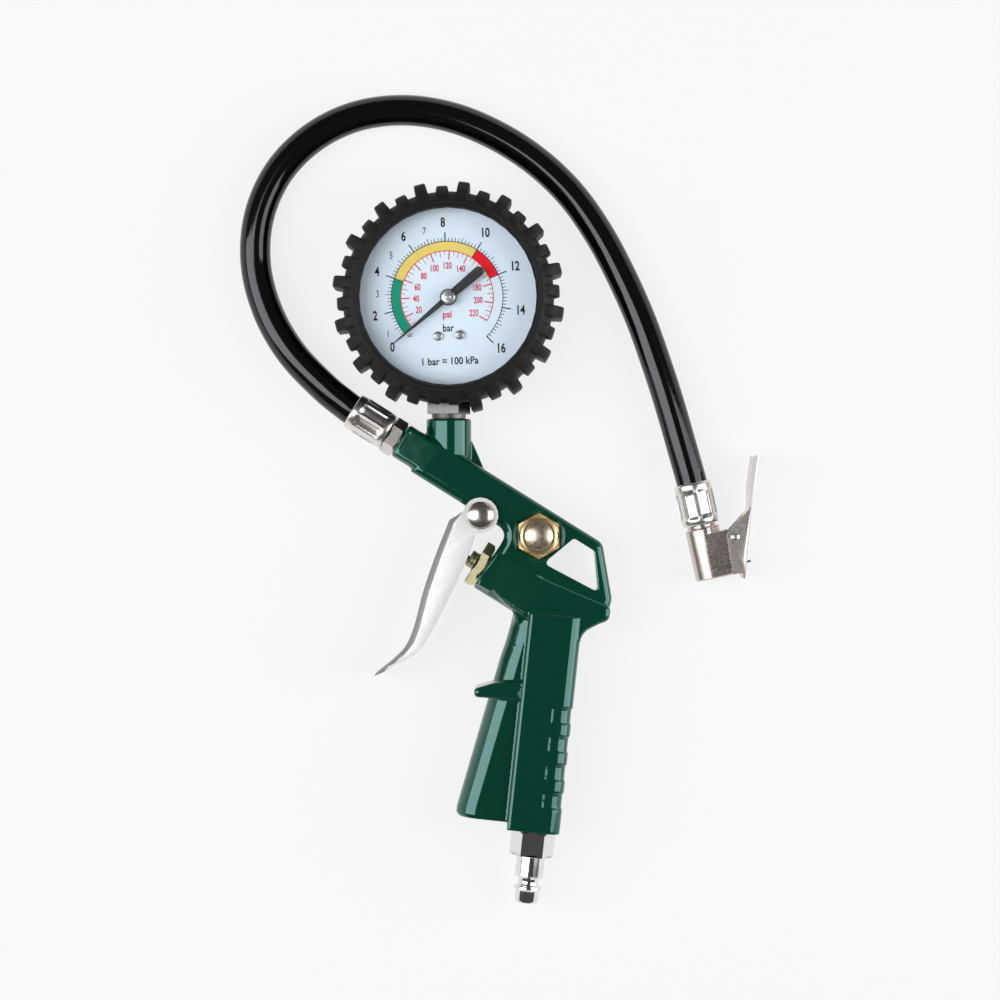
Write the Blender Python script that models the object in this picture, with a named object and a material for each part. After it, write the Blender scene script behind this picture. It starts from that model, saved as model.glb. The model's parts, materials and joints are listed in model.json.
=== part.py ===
"""Portable tyre inflator: pistol body with trigger, dial gauge in a rubber boot, hose and clip-on chuck.

The tool lies on its side. The gauge axis is the z axis, the flat back of the boot is z = 0,
y runs up from the grip to the gauge and x runs from the hose side to the chuck side.
Every size is in millimetres and every angle in degrees until the meshes are made.
"""
import math

import bmesh
import bpy
from mathutils import Matrix, Vector

MM = 0.001

# Room between pieces that touch in life
FIT = 0.3

# Edges bent more than this stay sharp when shaded
SHARP = 40.0

# Gauge wheelwork, in layers from the back plate forward
MID_Z = 13.5
REAR_PLATE = 15.2
PLATE = 1.0
PLATE_HALF = 8.0
PLATE_TOP = 9.0
GEAR_LIFT = 1.1
GEAR_THICK = 1.2
GEAR_ROOM = 1.9
GEAR_Z = REAR_PLATE + PLATE + GEAR_LIFT
FRONT_PLATE = GEAR_Z + GEAR_THICK + GEAR_ROOM
GEAR_MODULE = 0.6
PINION_TEETH = 8
SECTOR_TEETH = 54
SECTOR_TEETH_BEFORE = 7
SECTOR_TEETH_AFTER = 1
TAIL_R = 5.0
SHAFT_R = 0.9
ARBOR_R = 1.2
LINK_PIN_R = 0.7
LINK_THICK = 0.8
TUBE_R = 28.0
TUBE_WIDTH = 10.0
TUBE_DEPTH = 3.2
TUBE_END = 200.0
HAIR_WIRE = 0.18
HAIR_TURNS = 3.0
HAIR_FROM = 2.2
HAIR_TO = 6.2

# Dial, pointer and window
CASE_R = 40.0
CASE_WALL = 1.2
DIAL_ROOM = 3.2
DIAL_THICK = 0.8
DIAL_Z = FRONT_PLATE + PLATE + DIAL_ROOM
DIAL_SCREWS = {"dial_screw_left": (-4.3, -16.1), "dial_screw_right": (4.8, -15.5)}
SCREW_R = 0.9
SCREW_HEAD_R = 2.0
STOP_R = 22.5
STOP_LEAD = 3.7
STOP_PIN_R = 0.6
POINTER_LIFT = 2.6
POINTER_THICK = 0.8
POINTER_Z = DIAL_Z + DIAL_THICK + POINTER_LIFT
POINTER_REST = 220.3
POINTER_LENGTH = 29.7
POINTER_TAIL = 18.6
POINTER_HUB_R = 3.5
POINTER_END = 2.1
CAP_R = 3.0
CAP_HEIGHT = 1.5
LENS_ROOM = 1.4
LENS_THICK = 1.6
LENS_Z = POINTER_Z + POINTER_THICK + FIT + CAP_HEIGHT + LENS_ROOM
RING_THICK = 1.4
RING_SHOW = 0.8

# Rubber boot
BOOT_FLOOR = 2.7
BOOT_SIDE = 3.7
BOOT_LIP = 1.4
BOOT_REACH = 2.6
BOOT_FOOT = 5.0
BOOT_SLOPE = 3.4
BOOT_R = CASE_R + FIT + BOOT_SIDE
BOOT_HEIGHT = LENS_Z + LENS_THICK + FIT + RING_THICK + FIT + BOOT_LIP
BOOT_WINDOW_R = CASE_R - BOOT_REACH
LUG_PAIRS = 16
LUG_TALL = 4.5
LUG_SHORT = 2.5
LUG_STUB = 0.7
LUG_WIDTH = 6.0
LUG_TAPER = 0.86
LUG_PHASE = 82.1
LUG_SPLIT = 18.0

# Stem of the gauge
STEM_SHOW = 6.2
STEM_NECK_R = 6.0
STEM_LEAD = 1.2
STEM_BORE_R = 1.5
BLOCK_R = 5.5
BLOCK_TOP = 25.0
BLOCK_SEAT = 2.8
SOCKET_FLATS = 14.0
SOCKET_TURN = 20.0
SOCKET_COLLAR = 2.0
SOCKET_COLLAR_R = 7.2
SOCKET_THREAD_R = 6.6
SOCKET_THREAD = 11.7
SOCKET_WASHER = 1.2
SLOT_ROOM = 1.2

# Body casting, placed under the stem
NECK_R = 9.45
NECK_TOP = BOOT_R + STEM_SHOW
NECK_LENGTH = 20.0
NOSE_X = -20.15
NOSE_Y = -NECK_TOP - 9.0
NOSE_R = 7.85
NOSE_LENGTH = 10.5
NOSE_THREAD_R = 4.8
NOSE_THREAD = 10.5
BARREL_TILT = 32.0
BARREL_TOP = 8.25
BARREL_BOTTOM = 8.9
BARREL_THICK = 19.4
BARREL_EDGE = 3.4
BARREL_REAR = 94.5
AIRWAY_R = 2.5
GUSSET_THICK = 4.0
CHAMBER_R = 8.8
CHAMBER_FACE = 58.4
CHAMBER_DROP = 27.4
CHAMBER_LENGTH = 21.0
HEAD_THICK = 22.0
HEAD_EDGE = 3.0
THROAT_EDGE = 4.5
LUG_R = 6.3

# Grip
GRIP_T = 94.05
GRIP_S = -27.64
GRIP_TILT = 6.1
GRIP_LENGTH = 91.0
GRIP_DEPTH = 22.2
GRIP_THICK = 26.0
GRIP_BACK_R = 5.5
GRIP_FRONT_R = 1.2
WEB_THICK = 20.0
WEB_NOSE = 8.0
WEB_REACH = 17.8
WEB_FLARE = 0.18
WEB_LIFT = 3.0
REST_HEIGHT = 57.0
REST_REACH = 7.1
REST_THICK = 24.0
REST_EDGE = 1.4
PAD_COUNT = 4
PAD_PITCH = 11.9
PAD_HEIGHT = 6.7
PAD_FIRST = 13.9
PAD_DEPTH = 0.5
PAD_REACH = 8.5

# Trigger and its valve
PIVOT_T = 45.1
PIVOT_S = -9.0
EAR_R = 7.5
EAR_GAP = 0.4
SHEET = 1.6
TRIGGER_BEND = 2.4
TRIGGER_FRONT = [
    (-13.0, -1.9),
    (-19.0, -17.3),
    (-24.0, -32.0),
    (-27.6, -46.0),
    (-31.4, -54.8),
    (-36.6, -60.4),
    (-44.1, -66.5),
]
TRIGGER_REAR = [
    (-43.6, -67.1),
    (-33.0, -60.9),
    (-27.0, -57.6),
    (-21.6, -50.8),
    (-11.6, -31.4),
    (-5.0, -16.6),
    (-2.6, -8.2),
]
PIN_R = 2.4
RIVET_R = 5.8
RIVET_DOME = 2.6
RIVET_TAIL_R = 4.2
RIVET_TAIL = 1.2
NUT_FLATS = 17.0
NUT_HEIGHT = 4.2
GLAND_R = 3.7
GLAND_HEIGHT = 3.4
THREAD_R = 5.7
VALVE_SEAT = 7.7
VALVE_BORE_R = 4.7
VALVE_DEPTH = 27.0
STEM_R = 1.6
TIP_GAP = 0.5
POPPET_R = 3.9
POPPET_THICK = 2.0
POPPET_TAIL = 2.4
SEAL_THICK = 1.5
VALVE_SPRING_R = 3.2
VALVE_WIRE = 0.45
VALVE_TURNS = 6.0

# Deflate valve
DEFLATE_T = 70.3
DEFLATE_S = -3.35
DEFLATE_FLATS = 16.8
DEFLATE_HEIGHT = 4.2
DEFLATE_SEAT_R = 10.5
DEFLATE_SINK = 0.6
DEFLATE_SEAT = 1.9
DEFLATE_SEAL = 1.4
DEFLATE_FLOOR = -5.6
BUTTON_R = 6.0
BUTTON_EDGE = 2.6
BUTTON_DOME = 0.95
BUTTON_TRAVEL = 2.0
BUTTON_STEM_R = 2.3
BUTTON_HEAD_R = 4.1
BUTTON_HEAD = 1.4
NUT_WALL = 1.6
DEFLATE_SPRING_R = 3.2
DEFLATE_WIRE = 0.3
DEFLATE_TURNS = 2.5

# Inlet plug, along its axis from the foot of the grip
PLUG_HEX = 16.0
PLUG_HEX_LENGTH = 10.5
PLUG_R = 6.0
PLUG_SHANK = 8.6
PLUG_GROOVE_R = 4.3
PLUG_GROOVE = 2.9
PLUG_RIDGE_R = 5.75
PLUG_RIDGE = 1.4
PLUG_END_R = 4.95
PLUG_END = 5.3
PLUG_SLOPE = 0.45
PLUG_EDGE = 0.75
PLUG_BORE_R = 2.6
PLUG_THREAD_R = 6.6
PLUG_THREAD = 12.0

# Hose
HOSE_R = 6.5
HOSE_BORE_R = 4.3
FERRULE_R = 7.85
FERRULE_LENGTH = 17.8
FERRULE_FLOOR = 1.6
FLUTES = 8
FLUTE_DEPTH = 0.55
FLUTE_END = 2.0
TAIL_LENGTH = 14.2
TAIL_ROOM = 1.8
TAIL_BORE_R = 1.8
BARBS = 2
FITTING_FLATS = 14.0
FITTING_HEIGHT = 5.4
FERRULE_START = FIT + FITTING_HEIGHT + FIT
HOSE_INSET = FERRULE_FLOOR + FIT
HOSE_ROUTE = [
    (-52.6, -36.8, 12.6),
    (-66.6, -22.0, 10.6),
    (-76.6, -4.5, 8.6),
    (-81.7, 15.2, 7.2),
    (-80.4, 35.4, 6.8),
    (-72.3, 54.0, 6.8),
    (-58.2, 68.5, 6.8),
    (-40.2, 77.6, 6.8),
    (-20.1, 80.5, 6.8),
    (-0.1, 77.8, 6.8),
    (18.7, 70.4, 6.8),
    (35.9, 59.6, 6.8),
    (50.8, 45.7, 6.8),
    (62.7, 29.2, 6.8),
    (72.3, 11.4, 6.9),
    (80.6, -7.2, 7.4),
    (87.4, -26.2, 8.2),
    (93.5, -45.4, 9.0),
]

# Chuck, measured along its axis from the end of its ferrule
CHUCK_X = 106.3
CHUCK_Y = -94.6
CHUCK_Z = 9.9
CHUCK_TILT = 12.5
CHUCK_R = 7.2
CHUCK_TOP = 1.5
CHUCK_MOUTH = 23.3
CHUCK_REACH = 10.4
CHUCK_EDGE = 0.6
CHUCK_THREAD_R = 4.8
CHUCK_THREAD = 7.2
CHUCK_COLLAR_R = 6.0
CORE_SEAT = 9.0
CORE_FLANGE_R = 3.4
CORE_FLANGE = 1.4
CORE_R = 1.1
CORE_LENGTH = 7.7
GASKET_SEAT = 13.0
GASKET_THICK = 2.9
MOUTH_R = 4.6
LEVER_PIN_X = 12.25
LEVER_PIN_Z = 8.05
LEVER_PIN_R = 1.2
LEVER_EAR_R = 3.4
LEVER_SHEET = 1.1
LEVER_BEND = 2.0
LEVER_GAP = 0.4
LEVER_SPINE = [(30.2, -22.8), (22.0, -2.4), (15.2, 18.6), (13.0, 26.0)]
LEVER_FLANGE = [
    (11.9, 25.6),
    (12.2, 23.4),
    (8.2, 23.1),
    (9.3, 6.0),
    (20.4, -2.0),
    (22.8, -12.0),
    (27.2, -23.6),
]
SPRING_HALF = 3.8
LEVER_SPRING_R = 2.2
LEVER_WIRE = 0.4
LEVER_TURNS = 4.0
JAW_LEVEL = 19.45
JAW_THICK = 0.9
JAW_BACK = 1.8
JAW_SIDE = 1.4
JAW_TAIL = 17.1
JAW_TAIL_HALF = 3.0
JAW_GRIP_R = 4.0

COLOURS = {
    "green_paint": ((0.001, 0.045, 0.025), 0.28, 0.0),
    "black_rubber": ((0.022, 0.022, 0.025), 0.62, 0.0),
    "hose_rubber": ((0.012, 0.012, 0.013), 0.34, 0.0),
    "seal_rubber": ((0.015, 0.015, 0.015), 0.7, 0.0),
    "brass": ((0.62, 0.44, 0.16), 0.28, 1.0),
    "nickel": ((0.66, 0.62, 0.57), 0.24, 1.0),
    "chrome": ((0.72, 0.73, 0.74), 0.12, 1.0),
    "steel": ((0.55, 0.55, 0.55), 0.3, 1.0),
    "copper": ((0.75, 0.36, 0.2), 0.35, 1.0),
    "case_black": ((0.02, 0.02, 0.02), 0.45, 0.0),
    "dial_white": ((0.72, 0.78, 0.82), 0.5, 0.0),
    "pointer_black": ((0.008, 0.008, 0.008), 0.5, 0.0),
    "lens_clear": ((0.9, 0.95, 0.97), 0.05, 0.0),
}


def unit(angle):
    """Direction in the x, y plane at an angle."""
    a = math.radians(angle)
    return Vector((math.cos(a), math.sin(a)))


def axes(origin, z_axis, x_axis):
    """Matrix of a local frame from its origin and two of its axes."""
    z = Vector(z_axis).normalized()
    x = Vector(x_axis).normalized()
    turn = Matrix((x, z.cross(x), z)).transposed().to_4x4()
    return Matrix.Translation(Vector(origin)) @ turn


BARREL_U = unit(-BARREL_TILT)
BARREL_N = unit(90.0 - BARREL_TILT)
GRIP_DOWN = unit(-90.0 - GRIP_TILT)
GRIP_BACK = unit(-GRIP_TILT)
CHUCK_A = unit(-90.0 + CHUCK_TILT)
CHUCK_P = unit(CHUCK_TILT)
UP = (0.0, 0.0, 1.0)


def barrel_point(t, s):
    """Place in the gun plane of a point t along the barrel from its nose and s above its axis."""
    return Vector((NOSE_X, NOSE_Y)) + t * BARREL_U + s * BARREL_N


CHAMBER_CENTRE = barrel_point(CHAMBER_FACE, -CHAMBER_DROP)
GRIP_FOOT = barrel_point(GRIP_T, GRIP_S) + GRIP_LENGTH * GRIP_DOWN
GUN = Matrix.Translation((0.0, 0.0, MID_Z))
NOSE_FRAME = axes((NOSE_X, NOSE_Y, MID_Z), (*-BARREL_U, 0.0), UP)
NECK_FRAME = axes((0.0, 0.0, MID_Z), (0.0, -1.0, 0.0), (1.0, 0.0, 0.0))
CHAMBER_FRAME = axes((*CHAMBER_CENTRE, MID_Z), (*-BARREL_U, 0.0), (*BARREL_N, 0.0))
DEFLATE_FRAME = Matrix.Translation((*barrel_point(DEFLATE_T, DEFLATE_S), MID_Z))
PIVOT_FRAME = Matrix.Translation((*barrel_point(PIVOT_T, PIVOT_S), MID_Z))
GRIP_FRAME = axes((*GRIP_FOOT, MID_Z), (*GRIP_DOWN, 0.0), (*GRIP_BACK, 0.0))
REST_FRAME = axes((*GRIP_FOOT, MID_Z), UP, (*GRIP_BACK, 0.0))
CHUCK_FRAME = axes((CHUCK_X, CHUCK_Y, CHUCK_Z), (*CHUCK_A, 0.0), (*CHUCK_P, 0.0))
# Plane of the chuck's side: x across the chuck, y along its axis
SIDE_FRAME = CHUCK_FRAME @ axes((0, 0, 0), (0, -1, 0), (1, 0, 0))
GAUGE_FRAME = Matrix.Identity(4)
PINION_PITCH_R = GEAR_MODULE * PINION_TEETH / 2
SECTOR_PITCH_R = GEAR_MODULE * SECTOR_TEETH / 2
SECTOR_Y = -(PINION_PITCH_R + SECTOR_PITCH_R)
SECTOR_FRAME = Matrix.Translation((0.0, SECTOR_Y, 0.0))


def loft(rings, closed=False):
    """Skin through rings of points. A ring of one point is a pole, and open ends get a cap."""
    bm = bmesh.new()
    loops = [[bm.verts.new(p) for p in ring] for ring in rings]
    pairs = list(zip(loops, loops[1:]))
    if closed:
        pairs.append((loops[-1], loops[0]))
    for low, high in pairs:
        count = max(len(low), len(high))
        for i in range(count):
            j = (i + 1) % count
            corners = (low[i % len(low)], low[j % len(low)], high[j % len(high)], high[i % len(high)])
            bm.faces.new(list(dict.fromkeys(corners)))
    if not closed:
        for loop in (loops[0], loops[-1]):
            if len(loop) > 2:
                bm.faces.new(loop)
    bmesh.ops.recalc_face_normals(bm, faces=bm.faces)
    return bm


def turned(rows, columns=18, closed=False):
    """Turned piece about z. A row is (radius, z), or (half the flats, z, sides) for a hexagon or square."""
    rings = []
    for radius, z, *sides in rows:
        if radius == 0:
            rings.append([(0.0, 0.0, z)])
            continue
        ring = []
        for k in range(columns):
            a = 2 * math.pi * k / columns
            r = radius
            if sides:
                sector = 2 * math.pi / sides[0]
                r = radius / math.cos(a % sector - sector / 2)
            ring.append((r * math.cos(a), r * math.sin(a), z))
        rings.append(ring)
    return loft(rings, closed)


def hexagon(flats, low, high, chamfer=0.7):
    """Rows of a hexagon whose corners are chamfered at both ends."""
    half = flats / 2
    return [(half, low), (half, low + chamfer, 6), (half, high - chamfer, 6), (half, high)]


def rod(radius, low, high, columns=12):
    """Plain round rod along z."""
    return turned([(radius, low), (radius, high)], columns)


def bore(steps, end, columns=14):
    """Stepped hole along z. A step is (radius, where it starts), and the last runs to the end."""
    starts = [z for _, z in steps]
    rows = []
    for (radius, start), stop in zip(steps, starts[1:] + [end]):
        rows += [(radius, start), (radius, stop)]
    return turned(rows, columns)


def squared(rows, columns=32):
    """Piece along z from rows (half width, half height, z, power). Power 2 is round and more is squarer."""
    rings = []
    for wide, high, z, power in rows:
        ring = []
        for k in range(columns):
            a = 2 * math.pi * (k + 0.5) / columns
            c = math.cos(a)
            s = math.sin(a)
            x = math.copysign(wide * abs(c) ** (2 / power), c)
            y = math.copysign(high * abs(s) ** (2 / power), s)
            ring.append((x, y, z))
        rings.append(ring)
    return loft(rings)


def prism(outline, low, high):
    """Straight piece of one outline between two heights."""
    return loft([[(x, y, z) for x, y in outline] for z in (low, high)])


def box(x0, x1, y0, y1, z0, z1):
    """Plain block."""
    return prism([(x0, y0), (x1, y0), (x1, y1), (x0, y1)], z0, z1)


def slab(outline, thick, edge=0.0, steps=2):
    """Plate of one outline about the plane z = 0 with its rims rounded."""
    bm = prism(outline, -thick / 2, thick / 2)
    if edge:
        round_rims(bm, edge, steps)
    return bm


def round_rims(bm, edge, steps):
    """Round the rims of a straight piece, those edges that lie across z."""
    rims = [e for e in bm.edges if abs(e.verts[0].co.z - e.verts[1].co.z) < 1e-6]
    bmesh.ops.bevel(
        bm, geom=rims, offset=edge, segments=steps, affect="EDGES", profile=0.5, clamp_overlap=True
    )


def rounded(corners, steps=4):
    """Outline through corners (x, y, radius), with each round corner drawn as an arc."""
    out = []
    for i, (x, y, r) in enumerate(corners):
        here = Vector((x, y))
        if r == 0:
            out.append(here)
            continue
        before = (Vector(corners[i - 1][:2]) - here).normalized()
        after = (Vector(corners[(i + 1) % len(corners)][:2]) - here).normalized()
        half = before.angle(after) / 2
        centre = here + (before + after).normalized() * (r / math.sin(half))
        start = here + before * (r / math.tan(half)) - centre
        end = here + after * (r / math.tan(half)) - centre
        a0 = math.atan2(start.y, start.x)
        sweep = (math.atan2(end.y, end.x) - a0 + math.pi) % (2 * math.pi) - math.pi
        for k in range(steps + 1):
            a = a0 + sweep * k / steps
            out.append(centre + r * Vector((math.cos(a), math.sin(a))))
    return out


def arc(x, y, r, start, end, steps):
    """Points of an arc between two angles."""
    return [Vector((x, y)) + r * unit(start + (end - start) * k / steps) for k in range(steps + 1)]


def smooth(points, per_span):
    """Points of a smooth curve through chosen points."""
    points = [Vector(p) for p in points]
    out = []
    ends = [2 * points[0] - points[1]] + points + [2 * points[-1] - points[-2]]
    for a, b, c, d in zip(ends, ends[1:], ends[2:], ends[3:]):
        for k in range(per_span):
            t = k / per_span
            bend = (2 * a - 5 * b + 4 * c - d) * t * t + (3 * b - 3 * c + d - a) * t**3
            out.append(0.5 * (2 * b + (c - a) * t + bend))
    out.append(points[-1])
    return out


def barrel_outline(corners, steps=4):
    """Outline given along the barrel, turned into the gun plane."""
    return rounded([(*barrel_point(t, s), r) for t, s, r in corners], steps)


def crossing(p, d, q, e):
    """Point where two lines, each a point and a direction, cross."""
    k = ((q.x - p.x) * e.y - (q.y - p.y) * e.x) / (d.x * e.y - d.y * e.x)
    return p + d * k


def offset_line(points, distance):
    """Open line moved sideways to its left by a distance."""
    lines = []
    for a, b in zip(points, points[1:]):
        along = (b - a).normalized()
        side = Vector((-along.y, along.x)) * distance
        lines.append((a + side, along))
    out = [lines[0][0]]
    for (p, d), (q, e) in zip(lines, lines[1:]):
        out.append(crossing(p, d, q, e))
    last = points[-1] - points[-2]
    out.append(lines[-1][0] + last)
    return out


def first_hit(line, start, along):
    """Least distance from a start, in a direction, at which an open line is met."""
    best = math.inf
    for a, b in zip(line, line[1:]):
        edge = b - a
        scale = along.cross(edge)
        reach = (a - start).cross(edge) / scale
        part = (a - start).cross(along) / scale
        if reach > 0 and 0 <= part <= 1:
            best = min(best, reach)
    return best


def bent_sheet(spine, rest, half, bend):
    """Solid of a channel piece about z = 0. Its spine, the line of the bend, is rounded at both rims."""
    moved = offset_line(spine, 1.0)
    sides = [b - a for a, b in zip(spine, moved)]
    room = [0.4 * min((p - q).length for q in rest) for p in spine]
    levels = []
    for a in (0.0, 30.0, 60.0, 90.0):
        turn = math.radians(a)
        levels.append((bend * (1 - math.cos(turn)), bend * (1 - math.sin(turn))))
    rings = []
    for sign, steps in ((-1, levels), (1, levels[::-1])):
        for depth, inset in steps:
            front = [p + s * min(inset, most) for p, s, most in zip(spine, sides, room)]
            rings.append([(x, y, sign * (half - depth)) for x, y in front + rest])
    bm = loft(rings)
    bmesh.ops.triangulate(bm, faces=bm.faces)
    return bm


def channel_hollow(spine, sheet, half, beyond, far):
    """Inside of a channel behind its spine, run on past both ends of it and closed by far points."""
    skin = offset_line(spine, sheet)
    first = skin[0] + (skin[0] - skin[1]).normalized() * beyond
    last = skin[-1] + (skin[-1] - skin[-2]).normalized() * beyond
    return prism([first] + skin + [last] + [Vector(p) for p in far], -half, half)


def tube(points, radius, sides):
    """Round wire along a line of points."""
    rings = []
    side = None
    for i, here in enumerate(points):
        along = (points[min(i + 1, len(points) - 1)] - points[max(i - 1, 0)]).normalized()
        if side is None:
            side = along.orthogonal().normalized()
        side = (side - along * side.dot(along)).normalized()
        up = along.cross(side)
        turn = [2 * math.pi * k / sides for k in range(sides)]
        rings.append([here + radius * (side * math.cos(a) + up * math.sin(a)) for a in turn])
    return loft(rings)


def least_gap(points, wire, skip):
    """Least clear distance between stretches of one wire that lie apart along it."""
    best = math.inf
    for i in range(len(points)):
        for j in range(i + skip, len(points)):
            best = min(best, (points[i] - points[j]).length)
    return best - 2 * wire


def coil(name, radius, wire, turns, low, high, per_turn=8):
    """Helical spring about z between two heights."""
    steps = round(turns * per_turn)
    rise = high - low - 2 * wire
    points = []
    for k in range(steps + 1):
        part = k / steps
        points.append(Vector((*(radius * unit(360.0 * turns * part)), low + wire + rise * part)))
    print(name, "least gap to itself in mm:", round(least_gap(points, wire, per_turn // 2 + 1), 2))
    return tube(points, wire, 4)


def make_object(name, bm, matrix):
    """Object of a mesh in millimetres placed by a frame."""
    bm.transform(Matrix.Scale(MM, 4))
    mesh = bpy.data.meshes.new(name)
    bm.to_mesh(mesh)
    bm.free()
    ob = bpy.data.objects.new(name, mesh)
    bpy.context.scene.collection.objects.link(ob)
    place = matrix.copy()
    place.translation *= MM
    ob.matrix_world = place
    return ob


def combine(target, tools, operation):
    """Join tools to a target, or cut them from it."""
    for k, (bm, matrix) in enumerate(tools):
        tool = make_object(f"tool_{k}", bm, matrix)
        modifier = target.modifiers.new(tool.name, "BOOLEAN")
        modifier.operation = operation
        modifier.solver = "EXACT"
        modifier.object = tool
    bpy.context.view_layer.update()
    evaluated = target.evaluated_get(bpy.context.evaluated_depsgraph_get())
    mesh = bpy.data.meshes.new_from_object(evaluated)
    used = [m.object for m in target.modifiers]
    target.modifiers.clear()
    target.data = mesh
    for tool in used:
        bpy.data.objects.remove(tool, do_unlink=True)


def material(kind):
    """Principled material of one kind, made once."""
    found = bpy.data.materials.get(kind)
    if found:
        return found
    colour, roughness, metallic = COLOURS[kind]
    made = bpy.data.materials.new(kind)
    made.use_nodes = True
    shader = made.node_tree.nodes["Principled BSDF"]
    shader.inputs["Base Color"].default_value = (*colour, 1.0)
    shader.inputs["Roughness"].default_value = roughness
    shader.inputs["Metallic"].default_value = metallic
    made.diffuse_color = (*colour, 1.0)
    return made


def piece(name, kind, bm, matrix, add=(), cut=()):
    """One named piece of the tool, with solids joined to it and cut from it."""
    ob = make_object(name, bm, matrix)
    if add:
        combine(ob, add, "UNION")
    if cut:
        combine(ob, cut, "DIFFERENCE")
    ob.data.name = name
    ob.data.materials.clear()
    ob.data.materials.append(material(kind))
    ob.data.shade_smooth()
    ob.data.set_sharp_from_angle(angle=math.radians(SHARP))
    return ob


def web_front(height):
    """Front edge of the grip web, measured across the grip, at a height above its foot."""
    return -WEB_REACH - (GRIP_LENGTH - height) * WEB_FLARE


def web_section(height, inset):
    """Cross-section of the grip web with its rounded nose."""
    half = WEB_THICK / 2
    front = web_front(height) + inset
    root = -GRIP_DEPTH / 4
    nose = [unit(a) for a in range(-90, 91, 15)]
    outline = [(root, -half)]
    outline += [(front + WEB_NOSE * (1 - c), half * s) for c, s in nose]
    outline += [(root, half)]
    return [(x, y, -height) for x, y in outline]


def grip_web():
    """Thinner front of the grip, rounded at its foot."""
    levels = ((0.0, 1.8), (1.4, 0.4), (4.0, 0.0), (GRIP_LENGTH - 1.0 - WEB_LIFT, 0.0))
    return loft([web_section(WEB_LIFT + rise, inset) for rise, inset in levels])


def grip_tube():
    """Thick back of the grip."""
    front = -GRIP_DEPTH / 2
    back = GRIP_DEPTH / 2
    half = GRIP_THICK / 2
    corners = [
        (front, -half, GRIP_FRONT_R),
        (back, -half, GRIP_BACK_R),
        (back, half, GRIP_BACK_R),
        (front, half, GRIP_FRONT_R),
    ]
    return prism(rounded(corners, 6), -GRIP_LENGTH, 0.0)


def grip_pad(height):
    """Shallow recess that wraps the back of the grip at a height above its foot."""
    start = GRIP_DEPTH / 2 - PAD_REACH
    back = GRIP_DEPTH / 2 - PAD_DEPTH
    half = GRIP_THICK / 2 - PAD_DEPTH
    outside = GRIP_THICK
    corners = [(start, -half, 0), (back, -half, GRIP_BACK_R), (back, half, GRIP_BACK_R), (start, half, 0)]
    around = [(start, outside), (outside, outside), (outside, -outside), (start, -outside)]
    return prism(rounded(corners, 6) + around, -height - PAD_HEIGHT / 2, -height + PAD_HEIGHT / 2)


def finger_rest():
    """Tongue in front of the grip, under the middle finger."""
    front = web_front(REST_HEIGHT)
    root = -GRIP_DEPTH / 2
    corners = [
        (front - REST_REACH, REST_HEIGHT, 1.8),
        (front - REST_REACH + 0.8, REST_HEIGHT - 3.5, 1.6),
        (root - 0.4, REST_HEIGHT - 2.6, 0),
        (root + 0.6, REST_HEIGHT + 5.4, 0),
        (front + 1.2, REST_HEIGHT + 3.5, 4.0),
    ]
    return slab(rounded(corners, 5), REST_THICK, REST_EDGE, 2)


def receiver():
    """Flat-sided barrel with the plate behind it that carries the window."""
    outline = barrel_outline(
        [
            (NOSE_LENGTH, -BARREL_BOTTOM, 0),
            (CHAMBER_FACE + 0.2, -BARREL_BOTTOM, 4.4),
            (CHAMBER_FACE + 0.2, CHAMBER_R - CHAMBER_DROP, 0),
            (CHAMBER_FACE + 13.0, -CHAMBER_DROP - 6.0, 0),
            (BARREL_REAR + 1.0, -CHAMBER_DROP - 3.0, 0),
            (BARREL_REAR + 18.4, -17.9, 0),
            (BARREL_REAR + 15.8, -9.5, 5.0),
            (BARREL_REAR, BARREL_TOP, 4.5),
            (NOSE_LENGTH, BARREL_TOP, 0),
        ]
    )
    return slab(outline, BARREL_THICK, BARREL_EDGE, 4)


def head():
    """Thicker part over the grip, from the valve chamber to the back of the hand."""
    outline = barrel_outline(
        [
            (CHAMBER_FACE + 17.4, CHAMBER_R - CHAMBER_DROP + 0.6, 0),
            (BARREL_REAR + 17.2, -12.3, 3.2),
            (BARREL_REAR + 19.4, -17.9, 3.2),
            (BARREL_REAR + 16.9, -21.0, 0),
            (BARREL_REAR + 12.9, -27.5, 7.0),
            (BARREL_REAR + 15.0, -36.5, 0),
            (BARREL_REAR + 7.0, -46.0, 0),
            (CHAMBER_FACE + 28.4, -CHAMBER_DROP - 8.8, 0),
            (CHAMBER_FACE + 20.4, -CHAMBER_DROP - 7.4, 3.2),
            (CHAMBER_FACE + 17.4, -CHAMBER_DROP - 7.8, 0),
        ]
    )
    return slab(outline, HEAD_THICK, HEAD_EDGE, 3)


def throat():
    """Rounded corner between the valve chamber and the front of the grip."""
    outline = barrel_outline(
        [
            (CHAMBER_FACE + 14.0, 1.3 - CHAMBER_DROP - CHAMBER_R, 0),
            (CHAMBER_FACE + 20.2, 0.9 - CHAMBER_DROP - CHAMBER_R, 5.0),
            (CHAMBER_FACE + 24.0, -CHAMBER_DROP - 21.6, 0),
            (CHAMBER_FACE + 36.0, -CHAMBER_DROP - 21.6, 0),
            (CHAMBER_FACE + 36.0, -CHAMBER_DROP, 0),
            (CHAMBER_FACE + 14.0, -CHAMBER_DROP, 0),
        ]
    )
    return slab(outline, WEB_THICK - 0.4, THROAT_EDGE, 3)


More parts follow.
